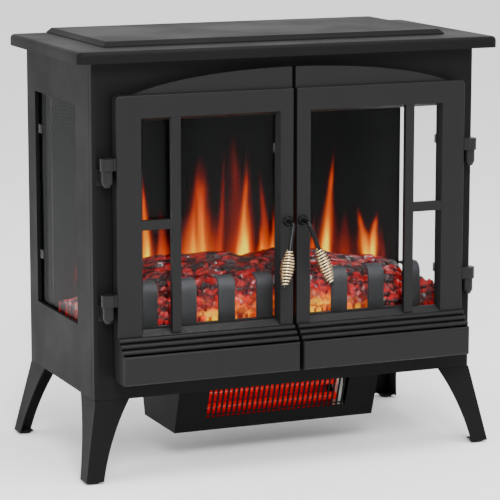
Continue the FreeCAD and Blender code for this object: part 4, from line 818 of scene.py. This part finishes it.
def scramble(cell, seed):
    """Random number from 0 to 1 for each whole-number cell."""
    mixed = cell @ np.array([127.1, 311.7, 74.7]) + seed * 19.19
    return np.modf(np.abs(np.sin(mixed) * 43758.5453))[0]


def soft_noise(spots, seed):
    """Smooth random field over points, from -1 to 1."""
    base = np.floor(spots)
    blend = spots - base
    blend = blend * blend * (3 - 2 * blend)
    total = np.zeros(len(spots))
    for corner in np.ndindex(2, 2, 2):
        weight = np.prod(np.where(corner, blend, 1 - blend), axis=1)
        total += weight * scramble(base + corner, seed)
    return total * 2 - 1


def chips(spots, seed):
    """Cell pattern over points: distance to the crack, and each chip's slanted height."""
    base = np.floor(spots)
    nearest = np.full(len(spots), 9.0)
    second = np.full(len(spots), 9.0)
    height = np.zeros(len(spots))
    for offset in np.ndindex(3, 3, 3):
        cell = base + np.array(offset) - 1
        centre = cell + np.stack([scramble(cell, seed + turn) for turn in (1, 2, 3)], axis=1)
        away = spots - centre
        distance = np.linalg.norm(away, axis=1)
        slant = np.stack([scramble(cell, seed + turn) - 0.5 for turn in (4, 5, 6)], axis=1)
        level = scramble(cell, seed + 7) + np.sum(away * slant, axis=1) * 1.6
        closer = distance < nearest
        second = np.where(closer, nearest, np.minimum(second, distance))
        height = np.where(closer, level, height)
        nearest = np.minimum(nearest, distance)
    return second - nearest, height


def relief(spots, chip, seed):
    """Height from 0 to about 1 of a heap of cracked chips."""
    crack, level = chips(spots / chip, seed)
    small_crack, small_level = chips(spots / (chip * 0.42), seed + 20)
    large = np.minimum(crack * 3, 1) * (0.45 + 0.55 * level)
    small = np.minimum(small_crack * 3, 1) * (0.4 + 0.6 * small_level)
    return large * 0.68 + small * 0.32


def sheet_mesh(name, grid, closed_rows=False):
    """Mesh over a grid of points; rows close on themselves in a tube."""
    rows, columns = grid.shape[:2]
    faces = []
    for row in range(rows - 1):
        for column in range(columns if closed_rows else columns - 1):
            after = (column + 1) % columns
            faces.append((row * columns + column, row * columns + after,
                          (row + 1) * columns + after, (row + 1) * columns + column))
    mesh = bpy.data.meshes.new(name)
    mesh.from_pydata(grid.reshape(-1, 3).tolist(), [], faces)
    return mesh


def carry(mesh, label, values):
    """Store a number on every point of a mesh for its finish to read."""
    layer = mesh.attributes.new(label, "FLOAT", "POINT")
    layer.data.foreach_set("value", values.astype(np.float32))


def walled(mesh, axis, place, coat, clear=False):
    """Make a sheet a solid: its rim runs to a plane across an axis and is closed there."""
    bm = bmesh.new()
    bm.from_mesh(mesh)
    rim = [edge for edge in bm.edges if edge.is_boundary]
    wall = bmesh.ops.extrude_edge_only(bm, edges=rim)["geom"]
    corners = [item for item in wall if isinstance(item, bmesh.types.BMVert)]
    for vert in corners:
        vert.co[axis] = place
        if clear:
            for layer in bm.verts.layers.float.values():
                vert[layer] = 0
    foot = [item for item in wall if isinstance(item, bmesh.types.BMEdge)]
    bmesh.ops.holes_fill(bm, edges=foot, sides=0)
    bmesh.ops.recalc_face_normals(bm, faces=bm.faces)
    bm.to_mesh(mesh)
    bm.free()
    mesh.materials.append(finish(coat))


def log_mesh(name, start, end, radii, droop, sizes, seed):
    """Broken log between two points, covered in plates of bark."""
    start, end = np.array(start), np.array(end)
    axis = end - start
    reach = np.linalg.norm(axis)
    axis = axis / reach
    side = np.cross(axis, (0, 0, 1))
    side = side / np.linalg.norm(side)
    up = np.cross(side, axis)
    around, along = LOG_STEPS, int(reach / RELIEF_GRID)
    angle = np.linspace(0, math.tau, around, endpoint=False)[None, :]
    share = np.linspace(0, 1, along)[:, None]
    radius = radii[0] + (radii[1] - radii[0]) * share
    rim = np.minimum(1, np.minimum(share, 1 - share) * reach / 0.010)
    ring = np.stack([np.cos(angle) * radius, np.sin(angle) * radius,
                     share * reach + 0 * angle], axis=2).reshape(-1, 3)
    stretched = ring / (1, 1, 2.6)
    bark = relief(stretched, sizes.bark_plate, seed)
    ridge = np.abs(soft_noise(ring / (0.0035, 0.0035, 0.016), seed + 40))
    bark = bark * 0.62 + ridge * 0.55
    bend = soft_noise(ring / 0.045, seed + 50) * 0.0050
    lump = soft_noise(ring / 0.018, seed + 60) * 0.0034
    depth = (bark - 0.75) * sizes.bark_depth + bend + lump
    wide = (radius * np.sqrt(np.maximum(rim, 0.02)) + 0 * angle).reshape(-1) + depth
    turn = np.broadcast_to(angle, (along, around)).reshape(-1)
    ragged = soft_noise(ring / 0.009, seed + 70) * 0.004 * (1 - np.broadcast_to(
        rim, (along, around)).reshape(-1))
    sunk = droop * np.clip(ring[:, 2] / reach / 0.4 - 1.5, 0, 1) ** 1.2
    spots = (start - np.outer(sunk, (0, 0, 1)) + np.outer(ring[:, 2] + ragged, axis)
             + np.outer(np.cos(turn) * wide, side) + np.outer(np.sin(turn) * wide, up))
    mesh = sheet_mesh(name, spots.reshape(along, around, 3), closed_rows=True)
    carry(mesh, "crest", bark)
    bm = bmesh.new()
    bm.from_mesh(mesh)
    bmesh.ops.holes_fill(bm, edges=[edge for edge in bm.edges if edge.is_boundary], sides=0)
    bmesh.ops.triangulate(bm, faces=[face for face in bm.faces if len(face.verts) > 4])
    bmesh.ops.recalc_face_normals(bm, faces=bm.faces)
    bm.to_mesh(mesh)
    bm.free()
    mesh.materials.append(finish("resin"))
    return mesh


# End corners of each log's box: the first end, then the far end. 0 is low and 1 is high.
LOG_RUNS = {
    "log_rear": ((0, 0.5, 0.5), (1, 0.5, 0.5)),
    "log_left": ((0, 0, 0), (1, 1, 1)),
    "log_right": ((1, 0, 0), (0, 1, 1)),
    "log_center": ((1, 0, 0), (0, 1, 1)),
}


def box_point(low, high, shares, inset):
    """Point at shares of a box, drawn in from its faces."""
    return [low[axis] + inset + (high[axis] - low[axis] - 2 * inset) * shares[axis]
            for axis in range(3)]


# ---------------------------------------------------------------- flames

# Each tongue: foot and tip across the screen, foot and tip height, width, brightness, heat.
# Across is a share of the screen's half width, and heights are shares of its height.
TONGUES = (
    (-0.86, -0.84, 0.16, 0.30, 0.022, 0.55, 0.55),
    (-0.74, -0.76, 0.15, 0.38, 0.026, 0.60, 0.60),
    (-0.61, -0.59, 0.15, 0.46, 0.030, 0.65, 0.62),
    (-0.485, -0.507, 0.13, 0.60, 0.032, 1.00, 0.98),
    (-0.390, -0.408, 0.13, 0.44, 0.034, 0.72, 0.72),
    (-0.290, -0.292, 0.13, 0.34, 0.022, 0.80, 0.80),
    (-0.195, -0.168, 0.12, 0.66, 0.078, 1.00, 0.80),
    (-0.080, -0.030, 0.13, 0.67, 0.019, 0.80, 0.55),
    (0.040, 0.010, 0.12, 0.76, 0.062, 0.62, 0.52),
    (0.062, 0.092, 0.12, 0.66, 0.036, 1.00, 1.00),
    (0.120, 0.108, 0.14, 0.67, 0.014, 0.45, 0.35),
    (0.203, 0.170, 0.12, 0.59, 0.026, 0.85, 0.70),
    (0.178, 0.162, 0.12, 0.36, 0.026, 0.90, 0.92),
    (0.238, 0.251, 0.12, 0.43, 0.024, 0.90, 0.98),
    (0.335, 0.322, 0.12, 0.55, 0.034, 0.85, 0.75),
    (0.420, 0.436, 0.12, 0.44, 0.026, 0.75, 0.70),
    (0.476, 0.494, 0.14, 0.36, 0.018, 0.80, 0.72),
    (0.550, 0.606, 0.15, 0.67, 0.028, 1.00, 0.90),
    (0.575, 0.595, 0.16, 0.50, 0.034, 0.40, 0.35),
    (0.664, 0.672, 0.15, 0.38, 0.040, 0.50, 0.45),
    (0.808, 0.758, 0.14, 0.39, 0.031, 1.00, 1.00),
    (0.828, 0.856, 0.14, 0.365, 0.033, 1.00, 0.95),
    (0.902, 0.880, 0.13, 0.30, 0.015, 0.60, 0.40),
)


def flame_picture(across, height):
    """Glow and heat of the flames at shares of the screen's half width and height."""
    spots = np.stack([across * 14, height * 3.2, 0 * across], axis=1)
    sway = soft_noise(spots, 3) * 0.010 + soft_noise(spots * 2.3, 4) * 0.005
    streak = soft_noise(np.stack([across * 55, height * 5, 0 * across], axis=1), 5)
    dark = np.ones(len(across))
    heat = np.zeros(len(across))
    for foot, tip, low, high, width, bright, hot in TONGUES:
        rise = (height - low) / (high - low)
        up = np.clip(rise, 0, 1)
        middle = foot + (tip - foot) * up ** 1.2 + sway * (0.4 + up)
        narrow = width * (0.95 + 0.50 * np.sin(np.pi * np.minimum(up * 1.7, 1)))
        narrow = narrow * np.clip(1 - up, 0, 1) ** 0.62 + 0.002
        body = np.exp(-(np.abs(across - middle) / narrow) ** 2.4 * 0.9)
        fade = np.clip((1.08 - rise) * 2.9, 0, 1) ** 1.2 * np.clip(rise * 6 + 1.2, 0, 1)
        part = body * fade * bright * (0.90 + 0.18 * streak)
        dark *= 1 - np.clip(part, 0, 1)
        heat = np.maximum(heat, part * hot * (1.22 - 0.78 * up ** 0.9))
    foot_glow = np.exp(-((height - 0.14) / 0.12) ** 2) * (1 - across ** 2) * 0.42
    return np.clip(1 - dark + foot_glow, 0, 1), np.clip(heat + foot_glow * 0.45, 0, 1)


# ---------------------------------------------------------------- operators

class StoveBuild(Operator):
    """Shared manners of the finishing steps."""
    bl_options = {"REGISTER", "UNDO"}

    def execute(self, context):
        self.build(context.scene.stove_sizes)
        return {"FINISHED"}


class STOVE_OT_stage(Operator):
    """Camera, pale floor and soft studio light"""
    bl_idname = "stove.stage"
    bl_label = "Stage"

    def execute(self, context):
        scene = context.scene
        stage = scene.stove_stage
        camera = bpy.data.objects.new("camera", bpy.data.cameras.new("camera"))
        camera.location = stage.camera_place
        camera.rotation_euler = stage.camera_turn
        camera.data.lens = stage.lens
        camera.data.clip_end = 100
        scene.collection.objects.link(camera)
        scene.camera = camera
        floor = bpy.data.meshes.new("floor")
        floor.from_pydata([(-FLOOR_REACH, -FLOOR_REACH, 0), (FLOOR_REACH, -FLOOR_REACH, 0),
                           (FLOOR_REACH, FLOOR_REACH, 0), (-FLOOR_REACH, FLOOR_REACH, 0)],
                          [], [(0, 1, 2, 3)])
        floor.materials.append(finish("floor"))
        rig.stage(new_object("floor", floor))
        scene.world = bpy.data.worlds.new("studio")
        scene.world.use_nodes = True
        sky = scene.world.node_tree.nodes["Background"]
        sky.inputs["Color"].default_value = (1, 1, 1, 1)
        sky.inputs["Strength"].default_value = stage.sky
        soft_light(scene, "key", (-0.9, -3.2, 2.7), 1.4, stage.key_power)
        soft_light(scene, "overhead", (0.3, -0.7, 2.6), 1.2, stage.top_power)
        soft_light(scene, "side", (-3.2, -0.4, 1.5), 1.8, stage.side_power)
        return {"FINISHED"}


def soft_light(scene, name, place, size, power):
    """Square light of a size, turned to the stove's middle."""
    lamp = bpy.data.lights.new(name, "AREA")
    lamp.energy = power
    lamp.size = size
    light = bpy.data.objects.new(name, lamp)
    light.location = place
    middle = (PACKED_BOX[0] + PACKED_BOX[1]) / 2
    light.rotation_euler = (middle - Vector(place)).to_track_quat("-Z", "Y").to_euler()
    scene.collection.objects.link(light)


class STOVE_OT_case(StoveBuild):
    """Folded case, moulded top and the firebox's own sheets"""
    bl_idname = "stove.case"
    bl_label = "Case"

    def build(self, sizes):
        rounded_set("enamel", sizes.edge, "top_panel", "front_panel", "side_panel_right",
                    "side_panel_left", "back_panel")
        rounded_set("steel", sizes.fine_edge, "top_deck", "base_pan", "side_glass_clips")
        rounded_set("inside", sizes.fine_edge, "firebox_floor", "firebox_ceiling")
        rounded_set("plastic", sizes.fine_edge, "cord_gland")


class STOVE_OT_panes(StoveBuild):
    """Panes of the doors and the sides"""
    bl_idname = "stove.panes"
    bl_label = "Panes"

    def build(self, sizes):
        rounded_set("glass", sizes.fine_edge, "side_glass_right", "side_glass_left",
                    "door_glass_right", "door_glass_left")


class STOVE_OT_doors(StoveBuild):
    """Door mouldings, their clips, hinges and catches"""
    bl_idname = "stove.doors"
    bl_label = "Doors"

    def build(self, sizes):
        rounded_set("moulding", sizes.edge, "door_frame_right", "door_frame_left")
        rounded_set("casting", sizes.edge, "hinge_lugs_right", "hinge_lugs_left",
                    "hinge_knuckles")
        rounded_set("steel", sizes.fine_edge, "door_glass_clips_right", "door_glass_clips_left")
        rounded_set("zinc", sizes.fine_edge, "hinge_pins")
        rounded_set("magnet", sizes.fine_edge, "magnet_catches")


class STOVE_OT_handles(StoveBuild):
    """Bent rods with wound brass grips"""
    bl_idname = "stove.handles"
    bl_label = "Handles"

    def build(self, sizes):
        tree = winding_tree()
        for side in ("right", "left"):
            rounded_set("gloss", sizes.fine_edge, "handle_rod_" + side, "handle_fixings_" + side)
            node = "handle_coil_" + side
            middle, direction, half = long_axis(node)
            spots = np.array([vert.co for vert in frame["nodes"][node].data.vertices])
            away = spots - np.array(middle)
            off_axis = np.linalg.norm(away - np.outer(away @ direction, direction), axis=1)
            wire = sizes.coil_wire
            near_end = np.abs(away @ direction) > half * GRIP_MOUTH
            piece = tree.grow(node + "_wound", bpy.data.meshes.new(node), Coat=finish("brass"),
                              Length=2 * (half - wire), Turns=sizes.coil_turns, Wire=wire,
                              Middle=float(off_axis.max()) - wire,
                              End=float(off_axis[near_end].max()) - wire)
            turn = direction.to_track_quat("Z", "Y").to_matrix().to_4x4()
            piece.data.transform(Matrix.Translation(middle - direction * (half - wire)) @ turn)
            deliver(piece, node)


class STOVE_OT_logs(StoveBuild):
    """Cast resin logs with plated bark"""
    bl_idname = "stove.logs"
    bl_label = "Logs"

    def build(self, sizes):
        for seed, (node, (near, far)) in enumerate(LOG_RUNS.items(), 1):
            low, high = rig.box(node)
            thick = min(high.z - low.z, high.y - low.y) / 2
            level = node == "log_rear"
            radius = thick if level else thick * BRANCH_SHARE
            inset = 0 if level else radius * 0.9
            start = box_point(low, high, near, inset)
            end = box_point(low, high, far, inset)
            mesh = log_mesh(node + "_bark", start, end, (radius, radius * 0.9),
                            REAR_DROOP if level else 0, sizes, seed * 11)
            deliver(new_object(node + "_bark", mesh), node)


class STOVE_OT_embers(StoveBuild):
    """Bed of coals, a hollow moulding lit from below"""
    bl_idname = "stove.embers"
    bl_label = "Embers"

    def build(self, sizes):
        low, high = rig.box("ember_bed")
        across = np.linspace(low.x, high.x, int((high.x - low.x) / RELIEF_GRID))
        back = np.linspace(0, 1, int((high.y - low.y) / RELIEF_GRID))
        x, share = np.meshgrid(across, back)
        ridge = np.interp(share, (0, 0.18, 0.40, 0.74, 1), (0.37, 0.70, 0.98, 0.98, 0.72))
        y = low.y + share * (high.y - low.y)
        ends = np.interp(np.abs(x) / high.x, (0.74, 0.88, 1), (1, 0.72, 0.58))
        z = low.z + ridge * ends * (high.z - low.z)
        spots = np.stack([x, y, z], axis=2).reshape(-1, 3)
        heap = relief(spots, sizes.coal, 5)
        swell = soft_noise(spots / 0.05, 8) * BED_SWELL
        rise = (heap - 0.55) * COAL_RISE + swell
        edge = np.minimum(np.minimum(share, 1 - share) * 12, 1).reshape(-1)
        spots[:, 2] += rise * (0.35 + 0.65 * edge)
        spots[:, 1] -= heap * 0.004 * (1 - share.reshape(-1))
        spots[:, 1] = np.clip(spots[:, 1], low.y, high.y)
        mesh = sheet_mesh("ember_bed_coals", spots.reshape(*x.shape, 3))
        carry(mesh, "crest", heap)
        walled(mesh, 2, low.z, "resin")
        deliver(new_object("ember_bed_coals", mesh), "ember_bed")


class STOVE_OT_grate(StoveBuild):
    """Flat-barred fire guard"""
    bl_idname = "stove.grate"
    bl_label = "Grate"

    def build(self, sizes):
        rounded("grate", "grate", sizes.edge * 1.4, 3)


class STOVE_OT_flames(StoveBuild):
    """Dark screen with the flame picture thrown on it"""
    bl_idname = "stove.flames"
    bl_label = "Flames"

    def build(self, sizes):
        low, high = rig.box("flame_screen")
        columns = int((high.x - low.x) / sizes.flame_step)
        rows = int((high.z - low.z) / sizes.flame_step)
        x, z = np.meshgrid(np.linspace(low.x, high.x, columns), np.linspace(low.z, high.z, rows))
        grid = np.stack([x, np.full_like(x, low.y), z], axis=2)
        mesh = sheet_mesh("flame_screen_lit", grid)
        glow, heat = flame_picture((x / high.x).reshape(-1),
                                   ((z - low.z) / (high.z - low.z)).reshape(-1))
        carry(mesh, "flame_glow", glow)
        carry(mesh, "flame_heat", heat)
        walled(mesh, 1, high.y, "flames", clear=True)
        deliver(new_object("flame_screen_lit", mesh), "flame_screen")


class STOVE_OT_effect(StoveBuild):
    """Lamp strips and the drive that makes the flames flicker"""
    bl_idname = "stove.effect"
    bl_label = "Flame drive"

    def build(self, sizes):
        rounded_set("circuit", sizes.fine_edge, "light_boards")
        rounded_set("foil", sizes.fine_edge / 2, "flicker_rod")
        rounded_set("steel", sizes.fine_edge, "flicker_motor")
        rounded_set("plastic", sizes.fine_edge, "rod_bearing")


class STOVE_OT_heater(StoveBuild):
    """Fan heater slung below the case"""
    bl_idname = "stove.heater"
    bl_label = "Heater"

    def build(self, sizes):
        rounded_set("heater", sizes.edge * 0.6, "heater_housing", "heater_front")
        rounded_set("reflector", sizes.fine_edge / 2, "heat_reflector")
        rounded_set("ceramic", sizes.fine_edge, "tube_holders", "thermal_cutout")
        rounded_set("steel", sizes.fine_edge / 2, "blower_wheel", "blower_motor")
        tree = winding_tree()
        coils = []
        for low, high in islands("quartz_tubes"):
            radius = (high.z - low.z) / 2 * FILAMENT_SHARE
            coil = tree.grow("filament", bpy.data.meshes.new("filament"), End=radius,
                             Coat=finish("filament"), Length=high.x - low.x, Middle=radius,
                             Turns=sizes.filament_turns, Wire=FILAMENT_WIRE)
            lie = Matrix.Rotation(math.radians(90), 4, "Y")
            middle = (low + high) / 2
            coil.data.transform(Matrix.Translation((low.x, middle.y, middle.z)) @ lie)
            coils.append(coil)
        rounded_set("quartz", sizes.fine_edge, "quartz_tubes")
        for index, coil in enumerate(coils, 1):
            coil.name = f"filament_{index}"
            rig.ride(coil, BODY_OF["quartz_tubes"])
            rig.slot(coil, SLOT_OF["quartz_tubes"])


class STOVE_OT_controls(StoveBuild):
    """Switch, buttons and the board behind them"""
    bl_idname = "stove.controls"
    bl_label = "Controls"

    def build(self, sizes):
        rounded_set("plastic", sizes.fine_edge, "control_panel")
        rounded_set("gloss", sizes.fine_edge * 1.5, "power_switch", "button_flame",
                    "button_heat")
        rounded_set("circuit", sizes.fine_edge, "control_board")


class STOVE_OT_legs(StoveBuild):
    """Splayed legs on ribbed rubber pads"""
    bl_idname = "stove.legs"
    bl_label = "Legs"

    def build(self, sizes):
        rounded_set("enamel", sizes.edge * 0.8, *(f"leg_{end}_{side}" for end in ("front", "rear")
                                                  for side in ("right", "left")))
        pads = []
        for low, high in islands("foot_pads"):
            radius, height = (high.x - low.x) / 2, high.z - low.z
            groove = radius * 0.93
            outline = [(0, 0), (radius * 0.55, 0), (radius * 0.6, height * 0.2),
                       (radius * 0.7, height * 0.2), (radius * 0.75, 0), (groove, 0),
                       (radius, height * 0.15), (radius, height * 0.4), (groove, height * 0.5),
                       (radius, height * 0.6), (radius, height * 0.85), (groove, height),
                       (0, height)]
            middle = (low + high) / 2
            pads.append((lathe(outline), Matrix.Translation((middle.x, middle.y, low.z))))
        deliver(joined("foot_pads_ribbed", pads, "rubber"), "foot_pads")


class STOVE_OT_screws(StoveBuild):
    """Pan-head screws with a cross recess"""
    bl_idname = "stove.screws"
    bl_label = "Screws"

    def build(self, sizes):
        tree = planting_tree()
        boxes = islands("case_screws")
        backs = [pair for pair in boxes if pair[1].y - pair[0].y > pair[1].z - pair[0].z]
        downs = [pair for pair in boxes if pair not in backs]
        low, high = downs[0]
        screw = screw_mesh((high.x - low.x) / 2, high.z - low.z)
        sets = []
        for name, pairs, turn in (
                ("rear", backs, (math.radians(-90), 0, 0)),
                ("leg", downs, (math.radians(180), 0, 0))):
            spots = [((a.x + b.x) / 2, b.y if name == "rear" else (a.y + b.y) / 2,
                      (a.z + b.z) / 2 if name == "rear" else a.z) for a, b in pairs]
            sets.append(plant(tree, name + "_screws", spots, screw.copy(), turn, "zinc"))
        for piece in sets:
            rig.ride(piece, BODY_OF["case_screws"])
            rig.slot(piece, SLOT_OF["case_screws"])
        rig.replaces(sets[0], "case_screws")


def screw_mesh(radius, reach):
    """Screw standing on its point, with the top of its head at the origin."""
    head = radius * 0.62
    shank = radius * 0.5
    outline = [(0, -reach), (shank * 0.5, -reach), (shank, -reach * 0.88), (shank, -head),
               (radius, -head), (radius, -head * 0.55), (radius * 0.86, -head * 0.16),
               (radius * 0.55, 0), (0, 0)]
    bm = lathe(outline, 20)
    mesh = bpy.data.meshes.new("screw")
    bm.to_mesh(mesh)
    bm.free()
    body = new_object("screw_body", mesh)
    blades = []
    for turn in (0, 90):
        cut = bmesh.new()
        size = Matrix.Diagonal((radius * 1.1, radius * 0.2, head, 1))
        turned = Matrix.Rotation(math.radians(turn), 4, "Z") @ size
        bmesh.ops.create_cube(cut, size=1, matrix=turned)
        blade_mesh = bpy.data.meshes.new("screw_cross")
        cut.to_mesh(blade_mesh)
        cut.free()
        blades.append(new_object("screw_cross", blade_mesh))
        recess = body.modifiers.new("recess", "BOOLEAN")
        recess.operation = "DIFFERENCE"
        recess.object = blades[-1]
    mesh = settle(body).data
    if not mesh.polygons:
        raise RuntimeError("the screw's recess could not be cut")
    for spare in (*blades, body):
        bpy.data.objects.remove(spare)
    return mesh


STEPS = ("stage", "case", "panes", "doors", "handles", "logs", "embers", "grate", "flames",
         "effect", "heater", "controls", "legs", "screws")


class STOVE_PT_panel(Panel):
    """Lists the finishing steps and their settings"""
    bl_idname = "STOVE_PT_panel"
    bl_label = "Electric Stove"
    bl_space_type = "VIEW_3D"
    bl_region_type = "UI"
    bl_category = "Stove"

    def draw(self, context):
        for step in STEPS:
            self.layout.operator("stove." + step)
        for name in ("stove_sizes", "stove_colours", "stove_stage"):
            group = getattr(context.scene, name)
            for key in type(group).__annotations__:
                self.layout.prop(group, key)


CLASSES = (
    StoveSizes, StoveColours, StageSettings, STOVE_OT_stage, STOVE_OT_case, STOVE_OT_panes,
    STOVE_OT_doors, STOVE_OT_handles, STOVE_OT_logs, STOVE_OT_embers, STOVE_OT_grate,
    STOVE_OT_flames, STOVE_OT_effect, STOVE_OT_heater, STOVE_OT_controls, STOVE_OT_legs,
    STOVE_OT_screws, STOVE_PT_panel,
)


def register():
    for cls in CLASSES:
        bpy.utils.register_class(cls)
    bpy.types.Scene.stove_sizes = PointerProperty(type=StoveSizes)
    bpy.types.Scene.stove_colours = PointerProperty(type=StoveColours)
    bpy.types.Scene.stove_stage = PointerProperty(type=StageSettings)


def unregister():
    for name in ("stove_sizes", "stove_colours", "stove_stage"):
        delattr(bpy.types.Scene, name)
    for cls in reversed(CLASSES):
        bpy.utils.unregister_class(cls)


def main():
    """Register, run every step in order and write the two boxes."""
    register()
    for step in STEPS:
        getattr(bpy.ops.stove, step)()
    boxes = {"packed": PACKED_BOX, "finished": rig.bounds()}
    with open("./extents.json", "w") as sheet:
        json.dump({name: [list(corner) for corner in pair] for name, pair in boxes.items()},
                  sheet)


if __name__ == "__main__":
    main()
